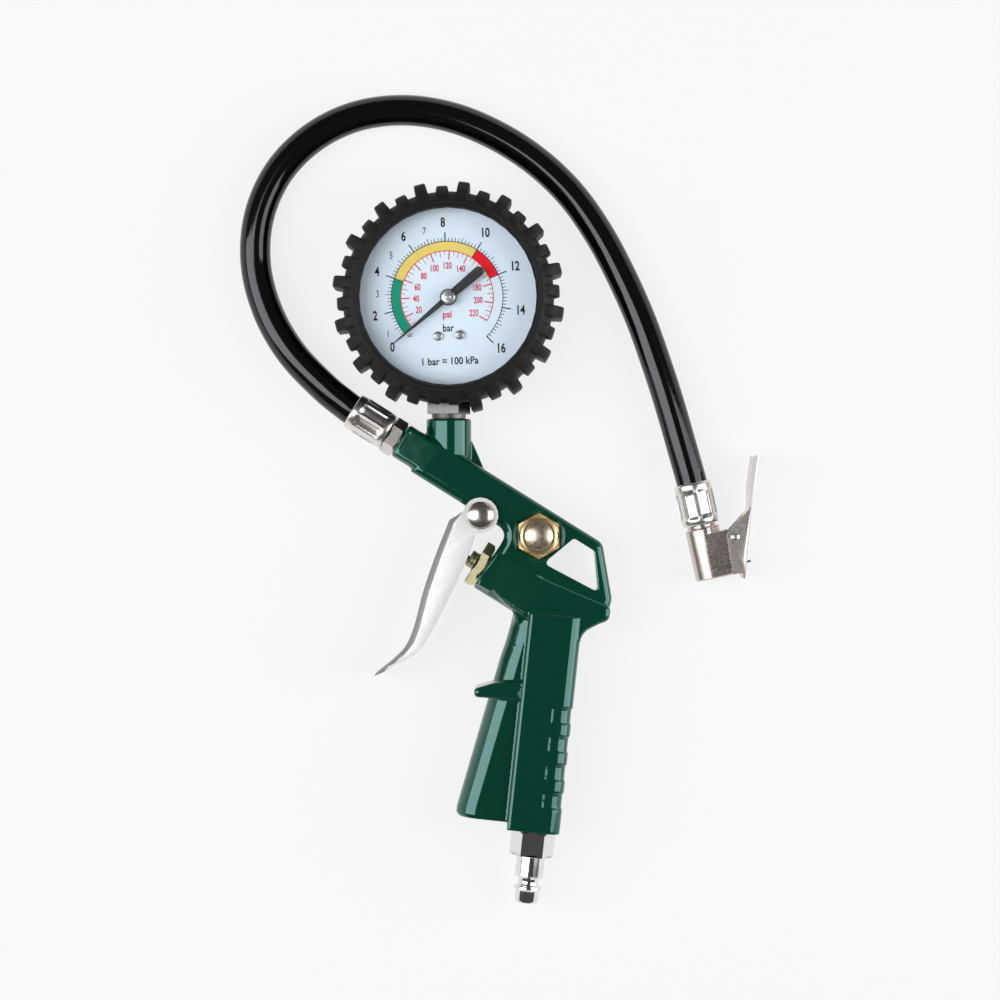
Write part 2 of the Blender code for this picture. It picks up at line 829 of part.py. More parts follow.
def gun_body():
    """Casting with barrel, neck, trigger lug, valve chamber, hang window, grip and finger rest."""
    half = BARREL_THICK / 2
    window = barrel_outline(
        [
            (BARREL_REAR - 11.2, BARREL_TOP - 4.65, 1.3),
            (BARREL_REAR - 1.2, BARREL_TOP - 4.65, 1.1),
            (BARREL_REAR + 9.3, -10.2, 1.1),
            (BARREL_REAR - 16.3, -12.0, 1.6),
        ]
    )
    neck_t = -NOSE_X / BARREL_U.x
    gusset = barrel_outline(
        [(neck_t - 0.8, 13.4, 0), (neck_t + 2.2, 15.3, 0), (neck_t + 13.4, 7.5, 0), (neck_t + 8.8, 2.9, 0)]
    )
    neck_foot = NECK_TOP + NECK_LENGTH
    neck = [(NECK_R - 0.6, NECK_TOP), (NECK_R, NECK_TOP + 0.6), (NECK_R, neck_foot)]
    nose = [
        (NOSE_R - 0.8, NOSE_R - 0.8, 0.0, 2.4),
        (NOSE_R - 0.2, NOSE_R - 0.2, -0.3, 2.5),
        (NOSE_R, NOSE_R, -0.8, 2.6),
        (half - 1.0, BARREL_TOP - 0.2, -NOSE_LENGTH / 2, 3.4),
        (half - 0.3, BARREL_TOP - 0.1, -NOSE_LENGTH, 4.4),
        (half - 0.1, BARREL_TOP - 0.05, -NOSE_LENGTH - 5.5, 5.0),
        (half - 3.0, BARREL_TOP - 3.0, -NOSE_LENGTH - 9.0, 4.0),
    ]
    deep = HEAD_THICK / 2
    chamber = [
        (CHAMBER_R - 0.6, CHAMBER_R - 0.6, 0.0, 2.0),
        (CHAMBER_R - 0.15, CHAMBER_R - 0.15, -0.2, 2.0),
        (CHAMBER_R, CHAMBER_R, -0.6, 2.0),
        (CHAMBER_R, CHAMBER_R, -0.3 * CHAMBER_LENGTH, 2.0),
        (CHAMBER_R, (CHAMBER_R + deep) / 2, -0.65 * CHAMBER_LENGTH, 2.6),
        (CHAMBER_R, deep, -0.9 * CHAMBER_LENGTH, 3.6),
        (CHAMBER_R - 0.6, deep, -CHAMBER_LENGTH, 4.0),
        (CHAMBER_R - 4.0, deep - 3.0, -CHAMBER_LENGTH - 3.0, 4.0),
    ]
    add = [
        (head(), GUN),
        (squared(nose), NOSE_FRAME),
        (turned(neck, 48), NECK_FRAME),
        (slab(gusset, GUSSET_THICK), GUN),
        (rod(LUG_R, -half + 0.3, half - 0.3, 20), PIVOT_FRAME),
        (squared(chamber), CHAMBER_FRAME),
        (throat(), GUN),
        (grip_web(), GRIP_FRAME),
        (grip_tube(), GRIP_FRAME),
        (finger_rest(), REST_FRAME),
    ]
    meet = crossing(CHAMBER_CENTRE, BARREL_U, GRIP_FOOT, GRIP_DOWN)
    rise = (meet - GRIP_FOOT).length
    onward = (meet - CHAMBER_CENTRE).length
    cross = axes((*barrel_point(CHAMBER_FACE + 8.0, -CHAMBER_DROP), MID_Z), (*BARREL_N, 0.0), UP)
    cross = cross @ Matrix.Rotation(math.radians(8.0), 4, "Z")
    neck_seat = NECK_TOP + SOCKET_THREAD + FIT + SOCKET_WASHER + FIT
    neck_steps = [(SOCKET_THREAD_R + FIT, NECK_TOP - 1), (AIRWAY_R - 0.1, neck_seat)]
    valve_steps = [
        (THREAD_R + FIT, 1.0),
        (VALVE_BORE_R, -VALVE_SEAT - FIT),
        (AIRWAY_R - 0.2, -VALVE_DEPTH),
    ]
    deflate_steps = [
        (DEFLATE_SEAT_R, half + 5.0),
        (BUTTON_R + NUT_WALL + FIT, half - DEFLATE_SINK),
        (BUTTON_HEAD_R + 0.6, DEFLATE_SEAT - 0.5),
    ]
    cut = [(grip_pad(PAD_FIRST + PAD_PITCH * k), GRIP_FRAME) for k in range(PAD_COUNT)]
    cut += [
        (prism(window, -HEAD_THICK, HEAD_THICK), GUN),
        (bore([(NOSE_THREAD_R + FIT, 1.0), (AIRWAY_R, -NOSE_THREAD - 0.5)], 1.7 - DEFLATE_T), NOSE_FRAME),
        (bore(neck_steps, neck_foot + 2), NECK_FRAME),
        (bore(valve_steps, -onward - 1.0), CHAMBER_FRAME),
        (rod(AIRWAY_R - 0.5, 0.4, CHAMBER_DROP - 0.6), cross),
        (bore(deflate_steps, DEFLATE_FLOOR, 24), DEFLATE_FRAME),
        (bore([(PLUG_THREAD_R + FIT, 1.0), (AIRWAY_R + 1.0, -PLUG_THREAD - 0.5)], -rise - 1.0), GRIP_FRAME),
        (rod(PIN_R + FIT, -half - 1, half + 1, 16), PIVOT_FRAME),
    ]
    piece("gun_body", "green_paint", receiver(), GUN, add, cut)


def inlet():
    """Plated plug of a quick coupling, screwed into the foot of the grip."""
    start = FIT + PLUG_HEX_LENGTH
    shank = start + PLUG_SHANK
    groove = shank + 2 * PLUG_SLOPE
    ridge = groove + PLUG_GROOVE + PLUG_SLOPE
    end = ridge + PLUG_RIDGE + PLUG_SLOPE
    tip = end + PLUG_END
    rows = [
        (PLUG_BORE_R, -PLUG_THREAD),
        (PLUG_THREAD_R - 0.8, -PLUG_THREAD),
        (PLUG_THREAD_R, 0.8 - PLUG_THREAD),
        (PLUG_THREAD_R, FIT),
    ]
    rows += hexagon(PLUG_HEX, FIT, start, 1.0)
    rows += [
        (PLUG_R, start),
        (PLUG_R, shank),
        (PLUG_R - PLUG_SLOPE, shank + PLUG_SLOPE),
        (PLUG_GROOVE_R, groove),
        (PLUG_GROOVE_R, groove + PLUG_GROOVE),
        (PLUG_RIDGE_R, ridge),
        (PLUG_RIDGE_R, ridge + PLUG_RIDGE),
        (PLUG_END_R, end),
        (PLUG_END_R, tip - PLUG_EDGE),
        (PLUG_END_R - PLUG_EDGE, tip),
        (PLUG_BORE_R, tip),
    ]
    piece("inlet_nipple", "chrome", turned(rows, closed=True), GRIP_FRAME)


def trigger():
    """Sheet lever bent to a channel, with two ears that straddle the barrel, and its rivet."""
    inner = BARREL_THICK / 2 + EAR_GAP
    outer = inner + SHEET
    front = smooth(TRIGGER_FRONT, 3)
    rest = smooth(TRIGGER_REAR, 2) + arc(0, 0, EAR_R, -103, 168, 14)
    plate = bent_sheet(front, rest, outer, TRIGGER_BEND)
    hollow = channel_hollow(front, SHEET, inner, 18.0, [(20.0, -85.0), (20.0, 20.0)])
    cut = [(hollow, PIVOT_FRAME), (rod(PIN_R + FIT, -outer - 9, outer + 9), PIVOT_FRAME)]
    piece("trigger_lever", "nickel", plate, PIVOT_FRAME, cut=cut)
    top = outer + FIT
    rows = [
        (0, -top - RIVET_TAIL),
        (RIVET_TAIL_R - 0.8, -top - RIVET_TAIL),
        (RIVET_TAIL_R, -top - RIVET_TAIL / 2),
        (RIVET_TAIL_R, -top),
        (PIN_R, -top),
        (PIN_R, top),
        (RIVET_R, top),
        (RIVET_R, top + 0.2 * RIVET_DOME),
        (0.85 * RIVET_R, top + 0.58 * RIVET_DOME),
        (0.48 * RIVET_R, top + 0.88 * RIVET_DOME),
        (0, top + RIVET_DOME),
    ]
    piece("trigger_pin", "nickel", turned(rows, 16), PIVOT_FRAME)


def trigger_valve():
    """Gland nut, plunger, seal and spring in the chamber in front of the grip."""
    gland = FIT + NUT_HEIGHT + GLAND_HEIGHT
    bore = STEM_R + FIT
    seat = -VALVE_SEAT
    rows = [(bore, seat), (THREAD_R, seat), (THREAD_R, FIT)]
    rows += hexagon(NUT_FLATS, FIT, FIT + NUT_HEIGHT)
    rows += [(GLAND_R, FIT + NUT_HEIGHT), (GLAND_R, gland - 0.5), (GLAND_R - 0.5, gland), (bore, gland)]
    piece("valve_nut", "brass", turned(rows, closed=True), CHAMBER_FRAME)

    pivot = barrel_point(PIVOT_T, PIVOT_S)
    skin = [pivot + p for p in offset_line(smooth(TRIGGER_FRONT, 3), SHEET)]
    tip = first_hit(skin, CHAMBER_CENTRE, -BARREL_U) - TIP_GAP
    poppet = seat - FIT - SEAL_THICK - FIT
    back = poppet - POPPET_THICK
    rows = [
        (0, back - POPPET_TAIL),
        (STEM_R, back - POPPET_TAIL),
        (STEM_R, back),
        (POPPET_R, back),
        (POPPET_R, poppet),
        (STEM_R, poppet),
        (STEM_R, tip - 0.6),
        (STEM_R - 0.6, tip),
        (0, tip),
    ]
    piece("valve_plunger", "steel", turned(rows, 12), CHAMBER_FRAME)
    low = poppet + FIT
    washer = [(bore, low), (POPPET_R, low), (POPPET_R, seat - FIT), (bore, seat - FIT)]
    piece("valve_washer", "seal_rubber", turned(washer, 12, closed=True), CHAMBER_FRAME)
    spring = coil("valve_spring", VALVE_SPRING_R, VALVE_WIRE, VALVE_TURNS, FIT - VALVE_DEPTH, back - FIT)
    piece("valve_spring", "steel", spring, CHAMBER_FRAME)


def deflate_valve():
    """Cap nut on the side of the barrel with its domed button, seal and spring."""
    base = BARREL_THICK / 2 - DEFLATE_SINK + FIT
    top = base + DEFLATE_HEIGHT
    wall = BUTTON_R + 0.4
    floor = top - BUTTON_EDGE - BUTTON_TRAVEL
    thread = BUTTON_R + NUT_WALL
    seat = DEFLATE_SEAT
    bore = BUTTON_STEM_R + FIT
    rows = [(bore, seat), (thread, seat), (thread, base)]
    rows += hexagon(DEFLATE_FLATS, base, top, 0.8)
    rows += [(wall + 0.9, top), (wall, top - 0.9), (wall, floor), (bore, floor)]
    frame = DEFLATE_FRAME @ Matrix.Rotation(math.pi / 2, 4, "Z")
    piece("deflate_nut", "brass", turned(rows, closed=True), frame)

    under = floor + BUTTON_TRAVEL + FIT
    poppet = seat - FIT - DEFLATE_SEAL - FIT
    back = poppet - BUTTON_HEAD
    rows = [
        (0, back),
        (BUTTON_HEAD_R, back),
        (BUTTON_HEAD_R, poppet),
        (BUTTON_STEM_R, poppet),
        (BUTTON_STEM_R, under),
        (BUTTON_R, under),
        (BUTTON_R, top - 0.8),
        (BUTTON_R * 0.88, top - 0.1),
        (BUTTON_R * 0.6, top + 0.65 * BUTTON_DOME),
        (0, top + BUTTON_DOME),
    ]
    piece("deflate_button", "brass", turned(rows), DEFLATE_FRAME)
    low = poppet + FIT
    washer = [(bore, low), (BUTTON_HEAD_R, low), (BUTTON_HEAD_R, seat - FIT), (bore, seat - FIT)]
    piece("deflate_washer", "seal_rubber", turned(washer, 12, closed=True), DEFLATE_FRAME)
    foot = DEFLATE_FLOOR + FIT
    spring = coil("deflate_spring", DEFLATE_SPRING_R, DEFLATE_WIRE, DEFLATE_TURNS, foot, back - FIT)
    piece("deflate_spring", "steel", spring, DEFLATE_FRAME)


def boot():
    """Rubber cover shaped like a tyre, with tall lugs across it and short lugs between them."""
    lip = BOOT_HEIGHT - BOOT_LIP
    inside = CASE_R + FIT
    profile = [
        (0, 0),
        (BOOT_R - BOOT_SLOPE, 0),
        (BOOT_R, BOOT_FOOT),
        (BOOT_R, LUG_SPLIT),
        (BOOT_R, BOOT_HEIGHT - 7.0),
        (BOOT_R - 1.0, BOOT_HEIGHT - 4.0),
        (BOOT_R - BOOT_SLOPE, BOOT_HEIGHT - 0.8),
        (BOOT_R - BOOT_SLOPE - 1.2, BOOT_HEIGHT),
        (BOOT_WINDOW_R, BOOT_HEIGHT - 0.3),
        (BOOT_WINDOW_R, lip),
        (inside, lip),
        (inside, BOOT_FLOOR),
        (0, BOOT_FLOOR),
    ]
    pitch = 360.0 / LUG_PAIRS
    gap = pitch / 2 - LUG_WIDTH
    edges = []
    for k in range(LUG_PAIRS):
        start = LUG_PHASE - LUG_WIDTH / 2 + pitch * k
        edges += [start, start + LUG_WIDTH, start + LUG_WIDTH + gap, start + 2 * LUG_WIDTH + gap]
    rings = []
    for r, z in profile:
        if r == 0:
            rings.append([(0.0, 0.0, z)])
        else:
            rings.append([(*(r * unit(a)), z) for a in edges])
    bm = loft(rings)
    turn = unit(SOCKET_TURN)
    stem = SOCKET_FLATS / 2 * (turn.x + turn.y) + SLOT_ROOM
    lugs = {}
    for face in bm.faces:
        mid = face.calc_center_median()
        if mid.xy.length < BOOT_R - 2.6 or len(face.verts) != 4:
            continue
        angle = (math.degrees(math.atan2(mid.y, mid.x)) - LUG_PHASE + LUG_WIDTH / 2) % 360.0
        column = round((angle - LUG_WIDTH / 2) / (pitch / 2)) % (2 * LUG_PAIRS)
        if abs((angle - LUG_WIDTH / 2) - column * pitch / 2) > LUG_WIDTH / 2:
            continue
        behind = mid.z < LUG_SPLIT
        near_stem = abs(mid.x) < stem + 3.5 and mid.y < 0
        if mid.z < BOOT_FOOT / 2 - 0.1 or behind and (column % 2 or near_stem):
            continue
        tall = LUG_SHORT if column % 2 else LUG_TALL
        lugs.setdefault((column, LUG_STUB if near_stem else tall), []).append(face)
    for (column, tall), faces in lugs.items():
        raised = bmesh.ops.extrude_face_region(bm, geom=faces)["geom"]
        middle = unit(LUG_PHASE + column * pitch / 2)
        for v in raised:
            if not isinstance(v, bmesh.types.BMVert):
                continue
            lean = v.co.xy.length / BOOT_R
            across = v.co.xy - middle * v.co.xy.dot(middle)
            v.co.xy = middle * ((BOOT_R + tall) * lean) + across * LUG_TAPER
        bmesh.ops.delete(bm, geom=[f for f in faces if f.is_valid], context="FACES_ONLY")
    bmesh.ops.recalc_face_normals(bm, faces=bm.faces)
    slot = box(-stem, stem, -BOOT_R - 9, -CASE_R + 5, MID_Z - stem, MID_Z + stem)
    piece("gauge_boot", "black_rubber", bm, GAUGE_FRAME, cut=[(slot, GAUGE_FRAME)])


def gauge_shell():
    """Case, window and the ring that holds it."""
    low = BOOT_FLOOR + FIT
    rim = LENS_Z + LENS_THICK
    inside = CASE_R - CASE_WALL
    rows = [
        (0, low),
        (CASE_R - 1.5, low),
        (CASE_R, low + 1.5),
        (CASE_R, rim),
        (inside, rim),
        (inside, low + CASE_WALL),
        (0, low + CASE_WALL),
    ]
    hole = [(rod(STEM_NECK_R + FIT, CASE_R - 6, CASE_R + 3, 20), NECK_FRAME)]
    piece("gauge_case", "case_black", turned(rows, 36), GAUGE_FRAME, cut=hole)
    lens = [(0, LENS_Z), (inside - 0.4, LENS_Z), (inside - 0.4, rim), (0, rim)]
    piece("gauge_lens", "lens_clear", turned(lens, 36), GAUGE_FRAME)
    top = BOOT_HEIGHT - BOOT_LIP - FIT
    low = rim + FIT
    within = BOOT_WINDOW_R - RING_SHOW
    ring = [(within, low), (CASE_R - 0.1, low), (CASE_R - 0.1, top), (within, top)]
    piece("lens_ring", "case_black", turned(ring, 36, closed=True), GAUGE_FRAME)


def dial_side():
    """Dial plate, its screws, the stop pin, the pointer and its cap."""
    top = DIAL_Z + DIAL_THICK
    plate = rod(CASE_R - CASE_WALL - 0.4, DIAL_Z, top, 36)
    stop = Matrix.Translation((*(STOP_R * unit(POINTER_REST + STOP_LEAD)), 0.0))
    places = {name: Matrix.Translation((x, y, 0.0)) for name, (x, y) in DIAL_SCREWS.items()}
    cut = [(rod(SHAFT_R + 0.4 + FIT, DIAL_Z - 1, top + 1, 12), GAUGE_FRAME)]
    cut += [(rod(SCREW_R + FIT, DIAL_Z - 1, top + 1, 8), place) for place in places.values()]
    cut += [(rod(STOP_PIN_R + FIT, DIAL_Z - 1, top + 1, 8), stop)]
    piece("gauge_dial", "dial_white", plate, GAUGE_FRAME, cut=cut)
    foot = FRONT_PLATE + PLATE + FIT
    under = top + FIT
    for name, place in places.items():
        rows = [
            (0, foot),
            (SCREW_R, foot),
            (SCREW_R, under),
            (SCREW_HEAD_R, under),
            (SCREW_HEAD_R, under + 0.6),
            (0.7 * SCREW_HEAD_R, under + 1.0),
            (0, under + 1.1),
        ]
        piece(name, "steel", turned(rows, 12), place)
    pin = rod(STOP_PIN_R, DIAL_Z - 1.0, POINTER_Z + POINTER_THICK + 0.4, 10)
    piece("pointer_stop_pin", "steel", pin, stop)

    hub = POINTER_HUB_R
    low = POINTER_Z
    high = low + POINTER_THICK
    outline = [(POINTER_LENGTH, -0.2), (POINTER_LENGTH, 0.2), (hub, 1.2)]
    outline += arc(0, 0, hub, 20, 150, 8)
    outline += arc(POINTER_END - POINTER_TAIL, 0, POINTER_END, 95, 265, 8)
    outline += arc(0, 0, hub, 210, 340, 8)
    outline += [(hub, -1.2)]
    rest = Matrix.Rotation(math.radians(POINTER_REST), 4, "Z")
    bore = [(rod(SHAFT_R + FIT, low - 1, high + 1, 12), GAUGE_FRAME)]
    piece("gauge_pointer", "pointer_black", prism(outline, low, high), rest, cut=bore)
    seat = high + FIT
    cap = [
        (0, seat),
        (CAP_R, seat),
        (CAP_R, seat + 0.4 * CAP_HEIGHT),
        (0.73 * CAP_R, seat + 0.8 * CAP_HEIGHT),
        (0, seat + CAP_HEIGHT),
    ]
    piece("pointer_cap", "steel", turned(cap, 16), GAUGE_FRAME)


def tooth(pitch_r, middle, addendum, dedendum):
    """Four points of one gear tooth, anticlockwise."""
    base = math.degrees(GEAR_MODULE * 0.78 / pitch_r)
    tip = math.degrees(GEAR_MODULE * 0.27 / pitch_r)
    low = pitch_r - dedendum
    high = pitch_r + addendum
    return [
        low * unit(middle - base),
        high * unit(middle - tip),
        high * unit(middle + tip),
        low * unit(middle + base),
    ]


def movement_plates():
    """Two plates that carry the wheelwork, with pillars between them."""
    wide = PLATE_HALF
    low_y = FIT - BLOCK_TOP
    post = wide - 1.7
    posts = [(-post, post), (post, post), (post, SECTOR_Y - 3.7)]
    corners = [(-wide, low_y, 1.5), (wide, low_y, 1.5), (wide, PLATE_TOP, 3), (-wide, PLATE_TOP, 3)]
    outline = rounded(corners, 2)
    pillars = []
    for x, y in posts:
        pillar = rod(ARBOR_R, REAR_PLATE + PLATE / 2, FRONT_PLATE - FIT, 10)
        pillars.append((pillar, Matrix.Translation((x, y, 0))))
    levels = {"movement_rear_plate": (REAR_PLATE, pillars), "movement_front_plate": (FRONT_PLATE, [])}
    for name, (low, add) in levels.items():
        holes = [
            (rod(SHAFT_R + FIT, low - 1, low + PLATE + 1, 10), GAUGE_FRAME),
            (rod(ARBOR_R + FIT, low - 1, low + PLATE + 1, 10), SECTOR_FRAME),
        ]
        piece(name, "brass", prism(outline, low, low + PLATE), GAUGE_FRAME, add, holes)


def wheelwork():
    """Pinion shaft, toothed sector, link and hairspring."""
    shaft = rod(SHAFT_R, REAR_PLATE + 0.1, POINTER_Z + POINTER_THICK, 12)
    pinion = []
    for k in range(PINION_TEETH):
        middle = 270.0 + (k + 0.5) * 360.0 / PINION_TEETH
        pinion += tooth(PINION_PITCH_R, middle, 0.83 * GEAR_MODULE, 1.25 * GEAR_MODULE)
    wheel = prism(pinion, GEAR_Z - 0.4, GEAR_Z + GEAR_THICK + 0.4)
    piece("pinion_shaft", "steel", wheel, GAUGE_FRAME, [(shaft, GAUGE_FRAME)])

    step = 360.0 / SECTOR_TEETH
    outline = []
    for k in range(-SECTOR_TEETH_BEFORE, SECTOR_TEETH_AFTER + 1):
        outline += tooth(SECTOR_PITCH_R, 90.0 + k * step, 0.83 * GEAR_MODULE, 1.33 * GEAR_MODULE)
    outline += arc(0, 0, 2.6, 110, 165, 3)
    outline += arc(-TAIL_R, 0, 1.8, 100, 260, 6)
    outline += arc(0, 0, 2.6, 200, 390, 8)
    sector = prism(outline, GEAR_Z, GEAR_Z + GEAR_THICK)
    link_z = GEAR_Z + GEAR_THICK + FIT
    end = Matrix.Translation((-TAIL_R, SECTOR_Y, 0.0))
    add = [
        (rod(ARBOR_R, REAR_PLATE + 0.1, FRONT_PLATE + PLATE - 0.1, 10), SECTOR_FRAME),
        (rod(LINK_PIN_R, GEAR_Z + GEAR_THICK / 3, link_z + LINK_THICK, 8), end),
    ]
    piece("sector_gear", "brass", sector, SECTOR_FRAME, add)

    span = TUBE_R * unit(TUBE_END) - Vector((-TAIL_R, SECTOR_Y))
    bar = arc(0, 0, 1.7, 40, 320, 10) + arc(span.length - 0.8, 0, 1.3, -60, 60, 5)
    turn = end @ Matrix.Rotation(math.atan2(span.y, span.x), 4, "Z")
    eye = [(rod(LINK_PIN_R + FIT, link_z - 1, link_z + LINK_THICK + 1, 8), end)]
    piece("link_rod", "steel", prism(bar, link_z, link_z + LINK_THICK), turn, cut=eye)

    spiral = []
    for k in range(31):
        part = k / 30
        place = (HAIR_FROM + (HAIR_TO - HAIR_FROM) * part) * unit(360.0 * HAIR_TURNS * part)
        spiral.append(Vector((*place, FRONT_PLATE + PLATE + 0.5)))
    print("hairspring least gap to itself in mm:", round(least_gap(spiral, HAIR_WIRE, 5), 2))
    piece("hairspring", "steel", tube(spiral, HAIR_WIRE, 4), GAUGE_FRAME)


def pressure_side():
    """C-shaped pressure tube, the socket with its stem and the sealing ring."""
    half = TUBE_WIDTH / 2
    flat = TUBE_DEPTH / 2
    section = [(flat, 0.6), (flat, -0.6), (0, -1.0), (-flat, -0.6), (-flat, 0.6), (0, 1.0)]
    start = -math.degrees(math.acos((BLOCK_R + FIT + 0.5) / TUBE_R))
    rings = []
    for k in range(21):
        out = unit(start + (TUBE_END - start) * k / 20)
        rings.append([(*(out * (TUBE_R + r)), MID_Z + half * z) for r, z in section])
    piece("bourdon_tube", "brass", loft(rings), GAUGE_FRAME)

    seat = CASE_R - CASE_WALL - BLOCK_SEAT
    lead = CASE_R + STEM_LEAD
    collar = NECK_TOP - SOCKET_COLLAR
    end = NECK_TOP + SOCKET_THREAD
    rows = [
        (0, BLOCK_TOP),
        (BLOCK_R, BLOCK_TOP),
        (BLOCK_R, seat),
        (STEM_NECK_R, seat),
        (STEM_NECK_R, lead),
        (SOCKET_FLATS / 2, lead, 4),
        (SOCKET_FLATS / 2, collar, 4),
        (SOCKET_COLLAR_R, collar),
        (SOCKET_COLLAR_R, NECK_TOP - FIT),
        (SOCKET_THREAD_R, NECK_TOP - FIT),
        (SOCKET_THREAD_R, end - 0.7),
        (SOCKET_THREAD_R - 0.7, end),
        (STEM_BORE_R, end),
        (STEM_BORE_R, BLOCK_TOP + 3.0),
        (0, BLOCK_TOP + 3.0),
    ]
    turn = NECK_FRAME @ Matrix.Rotation(math.radians(45.0 + SOCKET_TURN), 4, "Z")
    piece("gauge_socket", "nickel", turned(rows, 16), turn)
    low = end + FIT
    high = low + SOCKET_WASHER
    wide = SOCKET_THREAD_R - 0.6
    hole = AIRWAY_R + 0.1
    washer = [(hole, low), (wide, low), (wide, high), (hole, high)]
    piece("gauge_washer", "copper", turned(washer, 12, closed=True), NECK_FRAME)


def ferrule(name, matrix):
    """Sleeve crimped with long flutes over the end of the hose. It starts at z = 0 with its collar."""
    bore = HOSE_R + FIT
    hole = HOSE_BORE_R + 0.2
    end = FERRULE_LENGTH
    rows = [
        (FERRULE_R - 0.5, 0.0, 0),
        (FERRULE_R, FLUTE_END, 0),
        (FERRULE_R, 2.1 * FLUTE_END, 1),
        (FERRULE_R, end - 2.1 * FLUTE_END, 1),
        (FERRULE_R, end - FLUTE_END, 0),
        (FERRULE_R - 0.4, end, 0),
        (bore, end, 0),
        (bore, FERRULE_FLOOR, 0),
        (hole, FERRULE_FLOOR, 0),
        (hole, 0.0, 0),
    ]
    columns = FLUTES * 3
    rings = []
    for r, z, depth in rows:
        ring = []
        for k in range(columns):
            angle = 360.0 * k / columns
            dent = FLUTE_DEPTH * depth * (0.5 + 0.5 * math.cos(math.radians(angle * FLUTES)))
            ring.append((*((r - dent) * unit(angle)), z))
        rings.append(ring)
    piece(name, "nickel", loft(rings, closed=True), matrix)


def hose_tail_rows(start):
    """Rows of a hose tail with its barbs, from its root outwards and back through its bore."""
    plain = 0.28 * TAIL_LENGTH
    wide = HOSE_BORE_R - FIT
    rows = [(wide, start), (wide, start + plain)]
    for k in range(BARBS):
        foot = start + plain + (TAIL_LENGTH - plain) / BARBS * k
        rows += [(wide - 0.6, foot), (wide, foot + 0.8)]
    rows += [(wide - 0.8, start + TAIL_LENGTH), (TAIL_BORE_R, start + TAIL_LENGTH)]
    return rows


def hose_line():
    """Line of the hose from inside one ferrule to inside the other."""
    start = NOSE_FRAME @ Vector((0, 0, FERRULE_START + HOSE_INSET))
    leave = NOSE_FRAME @ Vector((0, 0, FERRULE_START + FERRULE_LENGTH + 1.5))
    arrive = CHUCK_FRAME @ Vector((0, 0, -FERRULE_LENGTH - 1.5))
    end = CHUCK_FRAME @ Vector((0, 0, -HOSE_INSET))
    free = smooth([leave] + HOSE_ROUTE + [arrive], 3)
    return [start, (start + leave) / 2] + free + [(arrive + end) / 2, end]


def hose():
    """Rubber hose, blind bored at both ends for the hose tails."""
    line = hose_line()
    length = sum((b - a).length for a, b in zip(line, line[1:]))
    print("hose length in mm:", round(length, 1))
    curve = bpy.data.curves.new("hose_line", "CURVE")
    curve.dimensions = "3D"
    curve.bevel_depth = HOSE_R * MM
    curve.bevel_resolution = 2
    curve.use_fill_caps = True
    spline = curve.splines.new("POLY")
    spline.points.add(len(line) - 1)
    for point, place in zip(spline.points, line):
        point.co = (*(place * MM), 1.0)
    path = bpy.data.objects.new("hose_line", curve)
    bpy.context.scene.collection.objects.link(path)
    bpy.context.view_layer.update()
    mesh = bpy.data.meshes.new_from_object(path.evaluated_get(bpy.context.evaluated_depsgraph_get()))
    bpy.data.objects.remove(path, do_unlink=True)
    bm = bmesh.new()
    bm.from_mesh(mesh)
    bpy.data.meshes.remove(mesh)
    bmesh.ops.remove_doubles(bm, verts=bm.verts, dist=1e-6)
    bm.transform(Matrix.Scale(1 / MM, 4))
    depth = TAIL_LENGTH + TAIL_ROOM
    near = rod(HOSE_BORE_R, FERRULE_START - 1, FERRULE_START + depth, 14)
    far = rod(HOSE_BORE_R, -depth, 1.0, 14)
    piece("hose", "hose_rubber", bm, GAUGE_FRAME, cut=[(near, NOSE_FRAME), (far, CHUCK_FRAME)])


def thread_rows(radius, low, high):
    """Rows of a bored thread, chamfered at its inner end."""
    return [(TAIL_BORE_R, low), (radius - 0.6, low), (radius, low + 0.6), (radius, high)]


def hose_ends():
    """Fitting at the nose, the two ferrules and the hose tail of the chuck."""
    rows = thread_rows(NOSE_THREAD_R, -NOSE_THREAD, FIT)
    rows += hexagon(FITTING_FLATS, FIT, FIT + FITTING_HEIGHT, 0.6)
    rows += hose_tail_rows(FIT + FITTING_HEIGHT)
    piece("hose_fitting", "nickel", turned(rows, closed=True), NOSE_FRAME)
    ferrule("hose_ferrule", NOSE_FRAME @ Matrix.Translation((0, 0, FERRULE_START)))
    flip = Matrix.Rotation(math.pi, 4, "X")
    ferrule("chuck_ferrule", CHUCK_FRAME @ flip)
    collar = CHUCK_TOP - FIT
    rows = thread_rows(CHUCK_THREAD_R, -collar - CHUCK_THREAD, -collar)
    rows += [(CHUCK_COLLAR_R, -collar), (CHUCK_COLLAR_R, -FIT)]
    rows += hose_tail_rows(-FIT)
    piece("chuck_tail", "nickel", turned(rows, 14, closed=True), CHUCK_FRAME @ flip)


